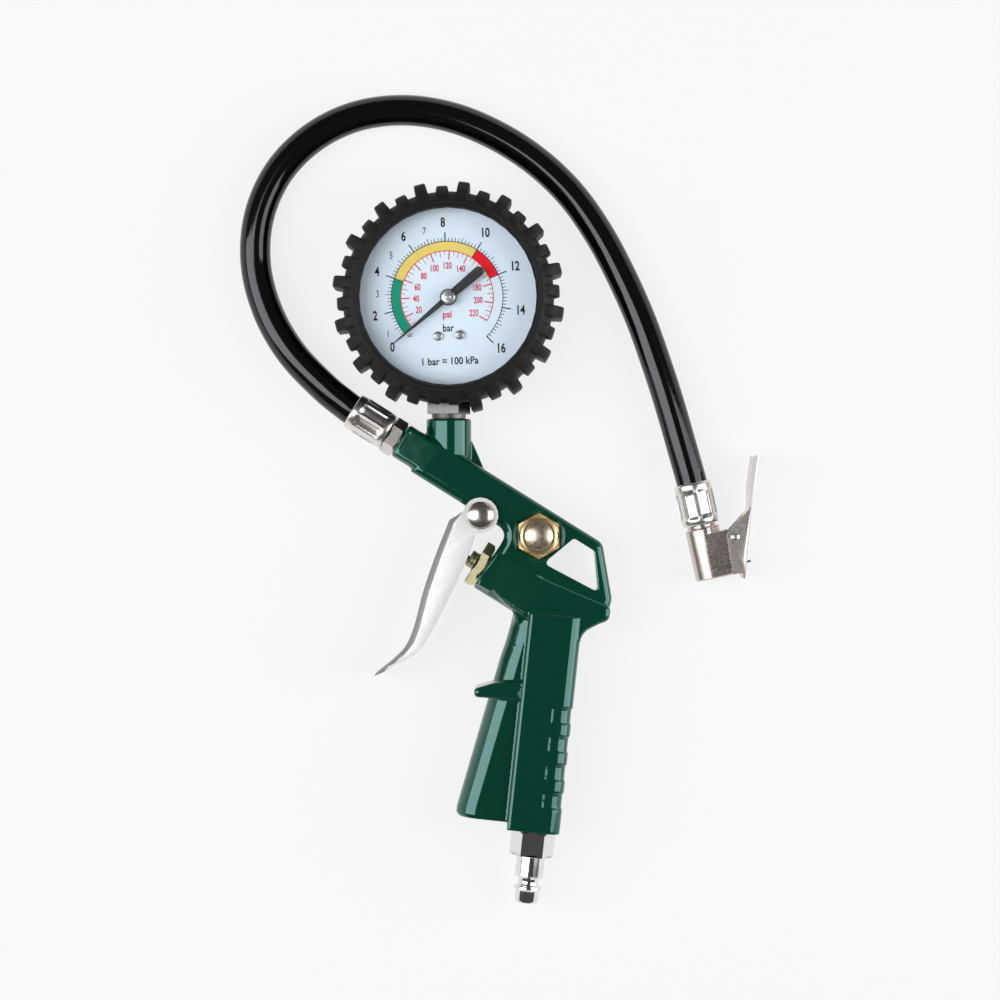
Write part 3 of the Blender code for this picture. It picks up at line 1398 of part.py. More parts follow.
def chuck_body():
    """Body of the chuck, round at the back, with the ears that hold the lever's pin."""
    r = CHUCK_R
    section = arc(0, 0, r, 90, 270, 12) + [Vector((CHUCK_REACH, -r)), Vector((CHUCK_REACH, r))]
    shell = prism(section, CHUCK_TOP, CHUCK_MOUTH)
    round_rims(shell, CHUCK_EDGE, 1)
    px, pz = LEVER_PIN_X, LEVER_PIN_Z
    around = LEVER_EAR_R
    root = CHUCK_REACH - 6.4
    ear = [Vector((root, pz - around))] + arc(px, pz, around, -90, 90, 8) + [Vector((root, pz + around))]
    slot = JAW_THICK + 2 * FIT
    slot_low = JAW_LEVEL - slot / 2
    room = SPRING_HALF + FIT
    core = CORE_FLANGE_R + FIT
    hinge = SIDE_FRAME @ Matrix.Translation((px, pz, 0))
    cut = [
        (rod(CHUCK_THREAD_R + FIT, CHUCK_TOP - 1, CORE_SEAT), CHUCK_FRAME),
        (rod(core, CORE_SEAT - 1, GASKET_SEAT + 1), CHUCK_FRAME),
        (rod(MOUTH_R, GASKET_SEAT, CHUCK_MOUTH + 1, 16), CHUCK_FRAME),
        (box(JAW_BACK - 0.5, CHUCK_REACH + 3, -r - 1, r + 1, slot_low, slot_low + slot), CHUCK_FRAME),
        (box(px - 3.7, px + 5, -room, room, pz - 5, pz + 5), CHUCK_FRAME),
        (rod(LEVER_PIN_R + FIT, -r - 1, r + 1, 12), hinge),
    ]
    piece("chuck_body", "nickel", shell, CHUCK_FRAME, [(slab(ear, 2 * r - 0.5), SIDE_FRAME)], cut)


def chuck_lever():
    """Sheet lever of the chuck with its pin and spring."""
    inner = CHUCK_R + LEVER_GAP
    outer = inner + LEVER_SHEET
    hinge = SIDE_FRAME @ Matrix.Translation((LEVER_PIN_X, LEVER_PIN_Z, 0))
    spine = [Vector(p) for p in LEVER_SPINE]
    plate = bent_sheet(spine, [Vector(p) for p in LEVER_FLANGE], outer, LEVER_BEND)
    hollow = channel_hollow(spine, LEVER_SHEET, inner, 4.0, [(-4.0, 30.0), (-4.0, -27.0)])
    wide = JAW_TAIL_HALF + 0.7
    mouth = box(LEVER_PIN_X - 1, LEVER_PIN_X + 9, JAW_LEVEL - 2.0, JAW_LEVEL + 2.8, -wide, wide)
    back = Matrix.Translation((-LEVER_PIN_X, -LEVER_PIN_Z, 0))
    for bm in (plate, hollow, mouth):
        bm.transform(back)
    cut = [(hollow, hinge), (mouth, hinge), (rod(LEVER_PIN_R + FIT, -outer - 1, outer + 1, 12), hinge)]
    piece("chuck_lever", "nickel", plate, hinge, cut=cut)

    end = outer + FIT
    rows = [
        (0, -end - 0.5),
        (LEVER_PIN_R + 0.5, -end - 0.5),
        (LEVER_PIN_R + 0.5, -end),
        (LEVER_PIN_R, -end),
        (LEVER_PIN_R, end),
        (LEVER_PIN_R + 0.8, end),
        (LEVER_PIN_R + 0.8, end + 0.3),
        (LEVER_PIN_R + 0.2, end + 0.6),
        (0, end + 0.6),
    ]
    piece("chuck_pin", "steel", turned(rows, 10), hinge)
    spring = coil("chuck_spring", LEVER_SPRING_R, LEVER_WIRE, LEVER_TURNS, -SPRING_HALF, SPRING_HALF)
    piece("chuck_spring", "steel", spring, hinge)


def chuck_inside():
    """Jaw plate, gasket and the pin that opens the tyre valve."""
    half = CHUCK_R - JAW_SIDE
    shoulder = CHUCK_REACH - 1.0
    neck = CHUCK_REACH + 1.2
    tail = JAW_TAIL_HALF
    outline = [
        (JAW_BACK, -half),
        (shoulder, -half),
        (neck, -tail),
        (JAW_TAIL, -tail),
        (JAW_TAIL, tail),
        (neck, tail),
        (shoulder, half),
        (JAW_BACK, half),
        (JAW_BACK, JAW_GRIP_R - 0.6),
    ]
    outline += arc(0, 0, JAW_GRIP_R, 35, -35, 6)
    outline += [(JAW_BACK, 0.6 - JAW_GRIP_R)]
    jaw = prism(outline, -JAW_THICK / 2, JAW_THICK / 2)
    piece("chuck_jaw", "steel", jaw, CHUCK_FRAME @ Matrix.Translation((0, 0, JAW_LEVEL)))

    low = GASKET_SEAT + FIT
    high = low + GASKET_THICK
    hole = CORE_R + 0.4
    wide = MOUTH_R - FIT
    ring = [(hole, low), (wide, low), (wide, high), (hole, high)]
    piece("chuck_gasket", "seal_rubber", turned(ring, 12, closed=True), CHUCK_FRAME)
    flange = CORE_SEAT + CORE_FLANGE
    tip = CORE_SEAT + CORE_LENGTH
    rows = [
        (0, CORE_SEAT),
        (CORE_FLANGE_R, CORE_SEAT),
        (CORE_FLANGE_R, flange),
        (CORE_R, flange),
        (CORE_R, tip - 0.4),
        (CORE_R - 0.4, tip),
        (0, tip),
    ]
    piece("core_pin", "brass", turned(rows, 12), CHUCK_FRAME)


def main():
    for ob in list(bpy.data.objects):
        bpy.data.objects.remove(ob, do_unlink=True)
    gun_body()
    inlet()
    trigger()
    trigger_valve()
    deflate_valve()
    boot()
    gauge_shell()
    dial_side()
    movement_plates()
    wheelwork()
    pressure_side()
    hose()
    hose_ends()
    chuck_body()
    chuck_lever()
    chuck_inside()


main()
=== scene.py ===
"""Finish of a tyre inflator gun: painted casting, plated fittings, printed dial, rubber boot and hose.

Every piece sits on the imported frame, in metres. Profiles are written in millimetres.
"""
import json
import math

import bmesh
import bpy
import numpy as np
from bpy.props import FloatProperty, FloatVectorProperty, PointerProperty
from bpy.types import NodeSocket, Operator, Panel, PropertyGroup, Scene
from mathutils import Matrix, Vector


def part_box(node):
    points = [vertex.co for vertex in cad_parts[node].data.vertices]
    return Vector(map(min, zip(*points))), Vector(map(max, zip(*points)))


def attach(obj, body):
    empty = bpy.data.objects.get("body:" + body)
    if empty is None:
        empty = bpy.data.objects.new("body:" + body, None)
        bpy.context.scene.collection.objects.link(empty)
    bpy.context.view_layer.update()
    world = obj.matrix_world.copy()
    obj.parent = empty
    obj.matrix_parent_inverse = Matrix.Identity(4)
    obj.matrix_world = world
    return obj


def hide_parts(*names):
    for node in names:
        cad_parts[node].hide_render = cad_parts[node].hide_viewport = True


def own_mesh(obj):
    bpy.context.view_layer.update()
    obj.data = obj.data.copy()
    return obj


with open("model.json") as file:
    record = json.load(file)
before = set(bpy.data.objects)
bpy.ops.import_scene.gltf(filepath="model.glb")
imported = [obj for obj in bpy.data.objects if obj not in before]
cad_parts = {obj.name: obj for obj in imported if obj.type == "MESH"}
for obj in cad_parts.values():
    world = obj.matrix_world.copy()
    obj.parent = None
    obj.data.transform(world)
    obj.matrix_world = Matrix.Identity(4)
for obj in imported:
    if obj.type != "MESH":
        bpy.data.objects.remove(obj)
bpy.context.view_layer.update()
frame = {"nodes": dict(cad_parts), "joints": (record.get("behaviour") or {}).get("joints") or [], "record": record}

bl_info = {
    "name": "Tyre Inflator Gun",
    "version": (1, 0, 0),
    "blender": (4, 5, 0),
    "location": "View3D > Sidebar > Inflator",
    "description": "Builds the finished pieces of a tyre inflator gun on its frame",
    "category": "Object",
}

MM = 0.001
NODES = frame["nodes"]
JOINTS = {joint["name"]: joint for joint in frame["joints"]}
MOUNTS = {mount["name"]: mount for mount in frame["record"]["mounts"]}

# Columns round a turned piece, a multiple of six and of four so that flats have true corners
COLUMNS = 72

# Hose route in metres, the same line that the frame's hose follows
HOSE_ROUTE = [
    (-0.0526, -0.0368, 0.0126), (-0.0666, -0.0220, 0.0106), (-0.0766, -0.0045, 0.0086),
    (-0.0817, 0.0152, 0.0072), (-0.0804, 0.0354, 0.0068), (-0.0723, 0.0540, 0.0068),
    (-0.0582, 0.0685, 0.0068), (-0.0402, 0.0776, 0.0068), (-0.0201, 0.0805, 0.0068),
    (-0.0001, 0.0778, 0.0068), (0.0187, 0.0704, 0.0068), (0.0359, 0.0596, 0.0068),
    (0.0508, 0.0457, 0.0068), (0.0627, 0.0292, 0.0068), (0.0723, 0.0114, 0.0069),
    (0.0806, -0.0072, 0.0074), (0.0874, -0.0262, 0.0082), (0.0935, -0.0454, 0.0090),
]


def colour(name, description, value):
    """Colour property of a finish."""
    return FloatVectorProperty(name=name, description=description, subtype="COLOR", size=3, default=value)


def length(name, description, value):
    """Length property in metres."""
    return FloatProperty(name=name, description=description, unit="LENGTH", default=value, precision=5)


def turn(name, description, degrees):
    """Angle property, given in degrees."""
    return FloatProperty(name=name, description=description, unit="ROTATION", default=math.radians(degrees))


class InflatorColours(PropertyGroup):
    """Colours of the finishes."""

    paint: colour("Paint", "Gloss paint of the casting", (0.0003, 0.055, 0.0318))
    boot: colour("Boot rubber", "Matte rubber of the gauge boot", (0.0095, 0.0098, 0.0108))
    hose: colour("Hose rubber", "Glossy rubber of the hose", (0.0028, 0.0028, 0.0034))
    seal: colour("Seal rubber", "Rubber of the seals", (0.015, 0.015, 0.015))
    nickel: colour("Nickel", "Polished nickel plate", (0.70, 0.655, 0.615))
    ferrule: colour("Ferrule", "Nickel plate of the crimped ferrules", (0.80, 0.77, 0.745))
    chuck: colour("Chuck", "Tumbled nickel plate of the chuck", (0.68, 0.585, 0.54))
    satin: colour("Satin nickel", "Satin plate of the chuck's lever", (0.80, 0.745, 0.705))
    # Dull metal, darkened further as painted shade: the stem's grey also stands in for the shadow of the boot's
    # lugs over it
    stem: colour("Stem", "Dull zinc of the gauge's stem", (0.17, 0.165, 0.16))
    # Painted shade: this darker grey on the trigger's tilted bend and cut faces stands in for the dark that they
    # reflect; the sheet is one plate
    bend: colour("Bend", "Drawn edge of the trigger", (0.33, 0.325, 0.32))
    # This lighter grey is also painted light on the upward faces of the chuck lever's handle
    zinc: colour("Zinc", "Satin plate of the trigger", (0.91, 0.905, 0.90))
    chrome: colour("Chrome", "Bright chrome of the plug", (0.78, 0.785, 0.80))
    brass: colour("Brass", "Yellow plated brass", (0.93, 0.79, 0.53))
    olive: colour("Olive brass", "Greenish passivated brass", (0.86, 0.80, 0.50))
    button: colour("Button", "Tarnished dome of the button", (0.80, 0.67, 0.50))
    steel: colour("Steel", "Bright steel of small parts", (0.60, 0.595, 0.585))
    copper: colour("Copper", "Sealing ring", (0.75, 0.38, 0.22))
    black: colour("Black", "Black lacquer of case and pointer", (0.012, 0.012, 0.013))
    dial: colour("Dial", "White of the dial", (0.66, 0.745, 0.82))
    ink: colour("Ink", "Black print", (0.012, 0.013, 0.018))
    pale_ink: colour("Pale ink", "Grey print of the odd numbers", (0.05, 0.055, 0.065))
    red_ink: colour("Red ink", "Red print", (0.60, 0.015, 0.03))
    low_band: colour("Low band", "Green band", (0.0, 0.27, 0.15))
    middle_band: colour("Middle band", "Yellow band", (0.75, 0.56, 0.14))
    high_band: colour("High band", "Red band", (0.72, 0.004, 0.012))


class InflatorSizes(PropertyGroup):
    """Sizes that the finish adds to the frame."""

    hose: length("Hose diameter", "Outer diameter of the hose", 0.013)
    grain: length("Casting grain", "Mesh size of the casting", 0.00036)
    print_height: length("Print height", "Height of the print above the dial", 0.00005)
    scale_zero: turn("Scale zero", "Angle of the first mark", 229.1)
    scale_sweep: turn("Scale sweep", "Angle of the whole scale", 273.9)
    dial_turn: turn("Dial turn", "Turn of the lettering", 2.2)


class InflatorStudio(PropertyGroup):
    """Camera and light."""

    eye: length("Camera height", "Height of the camera above the table", 1.2635)
    eye_x: length("Camera x", "Place of the camera across the tool", 0.0215)
    eye_y: length("Camera y", "Place of the camera along the tool", -0.0843)
    focal: FloatProperty(name="Lens", description="Focal length in millimetres", default=107.0)
    lamp: FloatProperty(name="Lamp", description="Power of each soft box", subtype="POWER", default=11.5)
    sky: colour("Sky", "Dim ceiling of the studio", (0.075, 0.072, 0.072))
    floor: colour("Floor", "White table", (0.95, 0.95, 0.95))


def settings(group):
    """One of the tool's property groups."""
    return getattr(bpy.context.scene, "inflator_" + group)


# Places and directions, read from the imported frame

UP = Vector((0.0, 0.0, 1.0))
EAST = Vector((1.0, 0.0, 0.0))
BARREL = Vector(JOINTS["plunger_slide"]["axis"])
ACROSS = UP.cross(BARREL)
CHUCK_AXIS = Vector(MOUNTS["chuck_mouth_end"]["axis"])
INLET_AXIS = Vector(MOUNTS["inlet_plug_end"]["axis"])
MID_Z = JOINTS["trigger_pull"]["pos_m"][2]
BODY_OF = {node: body for body, nodes in frame["record"]["behaviour"]["bodies"].items() for node in nodes}


def axes(origin, z_axis, x_axis):
    """Matrix of a local frame from its origin and two of its axes."""
    z = Vector(z_axis).normalized()
    x = Vector(x_axis)
    x = (x - z * x.dot(z)).normalized()
    return Matrix.Translation(Vector(origin)) @ Matrix((x, z.cross(x), z)).transposed().to_4x4()


def seat(node, axis, side):
    """Frame on a node's axis whose origin is where the node starts along it."""
    low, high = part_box(node)
    point = (low + high) / 2
    start = min((v.co - point).dot(axis) for v in NODES[node].data.vertices)
    return axes(point + axis * start, axis, side)


def depth_of(node):
    """Depth of a node's box in millimetres."""
    low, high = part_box(node)
    return (high.z - low.z) / MM


# Shapes

# Distance in metres within which points of a node's mesh are one point
MERGE = 2e-6
# Angles in degrees: below the first, faces of a node are one flat; above the second, edges are rounded
FLAT_ANGLE, EDGE_ANGLE = 0.6, 38.0
# Millimetres that turned corners are cut back, and the largest share of a side that this takes
EASE, EASE_SHARE = 0.14, 0.45
# Millimetres that the tool of a slot stands out of the piece
SLOT_CLEAR = 1.0
# Steps of the cone at a hexagon's end, from the flats out to the corners
CONE_STEPS = (0.0, 0.35, 0.7, 1.0)


def new_object(name, data):
    """Object of a mesh, curve, lamp or camera, linked to the scene."""
    ob = bpy.data.objects.new(name, data)
    bpy.context.scene.collection.objects.link(ob)
    return ob


def mesh_of(bm, name, sharp):
    """Smooth mesh of a bmesh, with sharp edges kept."""
    mesh = bpy.data.meshes.new(name)
    bm.to_mesh(mesh)
    bm.free()
    mesh.shade_smooth()
    mesh.set_sharp_from_angle(angle=math.radians(sharp))
    return mesh


def spoke(radius, angle, z):
    """Point at a radius and an angle about z."""
    return (radius * math.cos(angle), radius * math.sin(angle), z)


def ring_of(radius, z, columns=COLUMNS):
    """Ring of points about z, which is one point where there is no radius."""
    return [spoke(radius, 2 * math.pi * k / columns, z) for k in range(columns if radius else 1)]


def skin(bm, rings, closed=False):
    """Faces between rings of points, which are returned as corners. A ring of one point is a pole."""
    loops = [[bm.verts.new(p) for p in ring] for ring in rings]
    for low, high in zip(loops, loops[1:] + (loops[:1] if closed else [])):
        count = max(len(low), len(high))
        for i in range(count):
            j = (i + 1) % count
            corners = (low[i % len(low)], low[j % len(low)], high[j % len(high)], high[i % len(high)])
            bm.faces.new(list(dict.fromkeys(corners)))
    return loops


def loft(rings, closed=False):
    """Solid through rings of points, either closed in a loop or with caps on its end rings."""
    bm = bmesh.new()
    loops = skin(bm, rings, closed)
    if not closed:
        for loop in (loops[0], loops[-1]):
            if len(loop) > 2:
                bm.faces.new(loop)
    bmesh.ops.recalc_face_normals(bm, faces=bm.faces)
    return bm


def block(low, high):
    """Plain block between two corners."""
    (x0, y0, z0), (x1, y1, z1) = low, high
    return loft([[(x0, y0, z), (x1, y0, z), (x1, y1, z), (x0, y1, z)] for z in (z0, z1)])


def eased(rows):
    """Profile rows with each corner between the ends cut back a little on both sides."""
    out = [rows[0]]
    for before, row, after in zip(rows, rows[1:], rows[2:]):
        here = Vector(row)
        for other in (before, after):
            step = Vector(other) - here
            out.append(tuple(here + step * min(EASE / step.length, EASE_SHARE)))
    return out + [rows[-1]]


def turned(rows, columns=COLUMNS):
    """Solid turned about z from rows of radius and z in millimetres, with eased corners."""
    return loft([ring_of(radius, z, columns) for radius, z in eased(rows)])


def hexagon(flats, low, high, chamfer):
    """Rows of a hexagon: half its flats, z and the radius that limits its corners there.

    The corners are turned off at the low end, and the high end is dished inside the corners.
    """
    half = flats / 2
    spare = half / math.cos(math.pi / 6) - half
    rows = [(half, low + chamfer * s, half + spare * s) for s in CONE_STEPS]
    return rows + [(half, high - chamfer * (1 - s), half + spare * s) for s in reversed(CONE_STEPS)]


def nut(shank, face, depth, flats, chamfer, tip):
    """Hollow fitting about z in millimetres: a shank, a hexagon that starts at a face, and a tip beyond.

    Rows of the shank and of the tip are radius and z, those of the tip from the end of the hexagon.
    """
    end = face + depth
    rows = shank + [(shank[-1][0], face)] + hexagon(flats, face, end, chamfer)
    rows += [(radius, end + z) for radius, z in tip]
    flat = 2 * math.pi / 6
    rings = []
    for radius, z, *limit in rows:
        ring = []
        for k in range(COLUMNS):
            a = 2 * math.pi * k / COLUMNS
            r = min(radius / math.cos(a % flat - flat / 2), limit[0]) if limit else radius
            ring.append(spoke(r, a, z))
        rings.append(ring)
    return loft(rings, closed=True)


def place_piece(name, bm, matrix, kind, body, nodes, sharp=32.0):
    """Finished piece from a mesh in millimetres, riding on a body in place of its nodes."""
    bm.transform(matrix @ Matrix.Scale(MM, 4))
    return settle(new_object(name, mesh_of(bm, name, sharp)), kind, body, nodes)


def settle(ob, kind, body, nodes):
    """Give a piece its finish in a material slot and its body, and hide the nodes that it stands for."""
    ob.data.materials.clear()
    ob.data.materials.append(finish(kind))
    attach(ob, body)
    if nodes:
        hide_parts(*nodes)
    return ob


def two_tone(ob, kind, chosen):
    """Give a second finish to the faces that a test chooses."""
    ob.data.materials.append(finish(kind))
    for face in ob.data.polygons:
        face.material_index = int(chosen(face))


def dress(kind, *nodes):
    """Give a finish to nodes of the frame that stay as they are."""
    for node in nodes:
        for place in NODES[node].material_slots:
            place.material = finish(kind)


def trimmed(name, node, kind, edge, split=None):
    """Copy of a node with its cut edges rounded, which stands in the node's place.

    A point to split at adds an edge across the copy, so that its finish can change there.
    """
    bm = bmesh.new()
    bm.from_mesh(NODES[node].data)
    bmesh.ops.remove_doubles(bm, verts=bm.verts, dist=MERGE)
    bmesh.ops.dissolve_limit(bm, verts=bm.verts, edges=bm.edges, angle_limit=math.radians(FLAT_ANGLE))
    if split is not None:
        bmesh.ops.bisect_plane(bm, geom=bm.verts[:] + bm.edges[:] + bm.faces[:], dist=1e-6,
                               plane_co=split, plane_no=(0.0, 1.0, 0.0))
    mesh = mesh_of(bm, name, EDGE_ANGLE)
    if "custom_normal" in mesh.attributes:
        mesh.attributes.remove(mesh.attributes["custom_normal"])
    ob = new_object(name, mesh)
    bevel = ob.modifiers.new("edge", "BEVEL")
    bevel.width = edge
    bevel.segments = 2
    bevel.limit_method = "ANGLE"
    bevel.angle_limit = math.radians(EDGE_ANGLE)
    bevel.harden_normals = True
    applied(ob)
    return settle(ob, kind, BODY_OF[node], [node])


def pressed_spring(name, node):
    """Copy of a coil spring in its node's place."""
    ob = new_object(name, NODES[node].data.copy())
    settle(ob, "steel", "gun", [node])
    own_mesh(ob)


def evaluated_mesh(ob):
    """New mesh of an object as its modifiers or its lettering make it."""
    bpy.context.view_layer.update()
    return bpy.data.meshes.new_from_object(ob.evaluated_get(bpy.context.evaluated_depsgraph_get()))


def applied(ob):
    """Apply an object's modifiers to its mesh."""
    mesh = evaluated_mesh(ob)
    ob.modifiers.clear()
    ob.data = mesh


def cut(ob, tools, matrix):
    """Cut solids in millimetres, placed by a matrix, from an object."""
    made = []
    for bm in tools:
        bm.transform(matrix @ Matrix.Scale(MM, 4))
        made.append(new_object("tool", mesh_of(bm, "tool", 30.0)))
        modifier = ob.modifiers.new("cut", "BOOLEAN")
        modifier.operation = "DIFFERENCE"
        modifier.solver = "EXACT"
        modifier.object = made[-1]
    applied(ob)
    for tool in made:
        bpy.data.objects.remove(tool, do_unlink=True)


# Finishes

# Values between which most of the noise lies that sets the gloss
NOISE_SPAN = (0.3, 0.7)


def blank(name):
    """Empty node material and its node tree."""
    made = bpy.data.materials.new(name)
    made.use_nodes = True
    made.node_tree.nodes.clear()
    return made, made.node_tree


def plug(tree, socket, value):
    """Link a socket to an output, or set it to a plain value."""
    if isinstance(value, NodeSocket):
        tree.links.new(value, socket)
    else:
        socket.default_value = value


def output_of(tree, kind, output=0, **inputs):
    """Output of a new shader node, its inputs linked or set. An underscore in their names is a space."""
    made = tree.nodes.new("ShaderNode" + kind)
    for key, value in inputs.items():
        plug(tree, made.inputs[key.replace("_", " ")], value)
    return made.outputs[output]


def blend(tree, share, first, second):
    """Shader that goes from the first to the second by a share."""
    made = tree.nodes.new("ShaderNodeMixShader")
    for i, value in enumerate((share, first, second)):
        plug(tree, made.inputs[i], value)
    return made.outputs[0]


def show(tree, shader):
    """Make a shader the surface of its material."""
    plug(tree, tree.nodes.new("ShaderNodeOutputMaterial").inputs["Surface"], shader)


def surface(name, tint, rough, grain, spread, metallic=0.0, bump=0.1, depth=0.00004, shine=0.5,
            glint=(1.0, 1.0, 1.0), fine=3.0):
    """Principled finish with mottled colour, uneven gloss and a fine relief."""
    made, tree = blank(name)
    place = output_of(tree, "TexCoord", "Object")
    cloud = output_of(tree, "TexNoise", Vector=place, Scale=grain, Detail=5.0, Roughness=0.55)
    mix = tree.nodes.new("ShaderNodeMix")
    mix.data_type = "RGBA"
    plug(tree, mix.inputs["Factor"], cloud)
    for key, share in (("A", 1 - spread), ("B", 1 + spread)):
        plug(tree, mix.inputs[key], (*[min(c * share, 1.0) for c in tint], 1.0))
    gloss = output_of(tree, "MapRange", Value=cloud, From_Min=NOISE_SPAN[0], From_Max=NOISE_SPAN[1],
                      To_Min=rough[0], To_Max=rough[1])
    relief = output_of(tree, "TexNoise", Vector=place, Scale=grain * fine, Detail=3.0)
    bumps = output_of(tree, "Bump", Strength=bump, Distance=depth, Height=relief)
    show(tree, output_of(tree, "BsdfPrincipled", Metallic=metallic, Specular_IOR_Level=shine, Roughness=gloss,
                         Specular_Tint=(*glint, 1.0), Base_Color=mix.outputs["Result"], Normal=bumps))
    return made


def window_glass(name):
    """Clear window that lets the lamps reach the dial."""
    made, tree = blank(name)
    glass = output_of(tree, "BsdfPrincipled", Base_Color=(0.975, 0.99, 1.0, 1.0), Roughness=0.02, IOR=1.38,
                      Transmission_Weight=1.0)
    clear = output_of(tree, "BsdfTransparent", Color=(0.96, 0.98, 1.0, 1.0))
    show(tree, blend(tree, output_of(tree, "LightPath", "Is Shadow Ray"), glass, clear))
    return made


def metal(rough, grain, spread, bump=0.06, depth=0.00003):
    """Values of a metal finish."""
    return dict(metallic=1.0, rough=rough, grain=grain, spread=spread, bump=bump, depth=depth)


# Finishes of the print on the dial and of its coloured bands
PRINT = dict(rough=(0.45, 0.55), grain=800.0, spread=0.1, shine=0.15)
BAND = dict(rough=(0.4, 0.5), grain=500.0, spread=0.05, shine=0.15)

FINISHES = {
    "paint": dict(rough=(0.07, 0.11), grain=260.0, spread=0.06, bump=0.05, depth=0.00003, fine=2.4, shine=0.95,
                  glint=(0.56, 1.0, 0.95)),
    "boot": dict(rough=(0.5, 0.66), grain=900.0, spread=0.28, bump=0.35, depth=0.00005, shine=0.3),
    "hose": dict(rough=(0.07, 0.12), grain=420.0, spread=0.2, bump=0.05, depth=0.00003, shine=0.55,
                 glint=(0.9, 0.94, 1.0)),
    "seal": dict(rough=(0.55, 0.7), grain=700.0, spread=0.2),
    "nickel": metal((0.18, 0.27), 350.0, 0.05, 0.05),
    "ferrule": metal((0.27, 0.35), 240.0, 0.06, 0.015),
    "chuck": metal((0.22, 0.32), 900.0, 0.09, 0.1, 0.00004),
    "satin": metal((0.28, 0.38), 700.0, 0.06, 0.1),
    # The stem and bend finishes are darkened as painted shade, and zinc on the chuck lever's handle top is painted
    # light
    "stem": metal((0.34, 0.46), 600.0, 0.14, 0.1),
    "bend": dict(metallic=0.25, rough=(0.45, 0.55), grain=600.0, spread=0.1, bump=0.1, depth=0.00003),
    "zinc": metal((0.48, 0.58), 520.0, 0.04, 0.12),
    "chrome": metal((0.05, 0.1), 300.0, 0.03, 0.02, 0.00002),
    "brass": metal((0.28, 0.4), 420.0, 0.08),
    "olive": metal((0.34, 0.46), 420.0, 0.12),
    "button": metal((0.24, 0.38), 700.0, 0.3),
    "steel": metal((0.2, 0.34), 600.0, 0.06),
    "copper": metal((0.3, 0.4), 600.0, 0.08, 0.1, 0.00004),
    "black": dict(rough=(0.3, 0.42), grain=500.0, spread=0.15, bump=0.06),
    "dial": dict(rough=(0.42, 0.52), grain=150.0, spread=0.015, bump=0.03, shine=0.15),
    "ink": PRINT,
    "pale_ink": PRINT,
    "red_ink": {**PRINT, "spread": 0.08},
    "low_band": BAND,
    "middle_band": BAND,
    "high_band": BAND,
}


def finish(kind):
    """Material of one finish, made once."""
    name = "finish_" + kind
    found = bpy.data.materials.get(name)
    if found:
        return found
    if kind == "glass":
        return window_glass(name)
    return surface(name, getattr(settings("colours"), kind), **FINISHES[kind])


# Casting, in millimetres

# Rounds of smoothing that soften its edges
CAST_ROUNDS = 5
# Power of the rounded rectangle that squared bosses get, where 2 is round
SQUARENESS = 5.0
# Distances behind a face between which squaring sets in, and shares of the old section between which it ends
FACE_RAMP, OUTSIDE_RAMP = (-0.6, -0.3), (1.09, 1.03)
# Sections of nose and valve chamber: distance behind the face, half height, half width and power
NOSE_ROWS = [(-1.0, 7.85, 7.85, 2.5), (0.8, 7.85, 7.85, 2.6), (5.25, 8.7, 8.05, 3.4), (10.5, 9.4, 8.15, 4.4)]
CHAMBER_ROWS = [(-1.0, 8.8, 8.8, 2.0), (20.0, 8.8, 8.8, 2.0)]
# Their flat sides once level: distance behind the face and half height
NOSE_LEVEL = [(2.0, 8.9), (15.0, 9.65)]
CHAMBER_LEVEL = [(1.0, 9.6), (4.0, 9.65), (24.0, 11.0)]
# Border of a levelled patch, and the half heights between which levelling sets in
LEVEL_BORDER, LEVEL_RAMP = 1.6, (6.6, 7.4)
# Front of the grip's web: height of its top above the foot, reach there and more reach per millimetre below it
WEB_TOP, WEB_REACH, WEB_FLARE = 91.0, 17.8, 0.18
# Length and half width of the rounded nose of its section
WEB_NOSE, WEB_HALF = 8.0, 10.0
# Heights from the top where straightening sets in and fades out, and where it sets in ahead of the axis
WEB_START, WEB_FADE, WEB_FRONT = (-20.0, -14.0), (-7.0, -0.5), (-11.7, -12.5)
# Points that it moves, as shares of the section's size
WEB_NEAR = (0.97, 1.5)


def cast_piece(name, node):
    """Node remeshed fine, with its edges and inner corners softened as on a casting."""
    ob = new_object(name, NODES[node].data.copy())
    weld = ob.modifiers.new("weld", "WELD")
    weld.merge_threshold = MERGE
    remesh = ob.modifiers.new("remesh", "REMESH")
    remesh.mode = "VOXEL"
    remesh.voxel_size = settings("sizes").grain
    soften = ob.modifiers.new("soften", "SMOOTH")
    soften.factor = 0.5
    soften.iterations = CAST_ROUNDS
    applied(ob)
    ob.data.shade_smooth()
    return ob


def ramp(values, start, full):
    """Weights that go from 0 at one value to 1 at another."""
    return np.clip((values - start) / (full - start), 0.0, 1.0)


def patch(values, low, high):
    """Weights that are 1 between two values and fall to 0 over the border of a levelled patch."""
    return ramp(values, low - LEVEL_BORDER, low) * ramp(values, high + LEVEL_BORDER, high)


def along(ob, origin, axis):
    """Points of a mesh, and how far each is along an axis from an origin, beside it and above it."""
    points = np.empty(len(ob.data.vertices) * 3)
    ob.data.vertices.foreach_get("co", points)
    points = points.reshape(-1, 3)
    out = (points - np.array(origin)) / MM
    return points, out @ np.array(axis), out @ np.array(UP.cross(axis)), out[:, 2]


def move(ob, points):
    """Put points back in their mesh."""
    ob.data.vertices.foreach_set("co", points.ravel())
    ob.data.update()


def level(ob, face, heights, reach, breadth):
    """Bring both flat sides of the casting to even heights over a patch, with soft borders."""
    points, back, across, up = along(ob, face, BARREL)
    weight = patch(back, *reach) * patch(across, *breadth) * ramp(np.abs(up), *LEVEL_RAMP)
    place, height = (np.array(column) for column in zip(*heights))
    points[:, 2] += weight * (np.sign(up) * np.interp(back, place, height) - up) * MM
    move(ob, points)


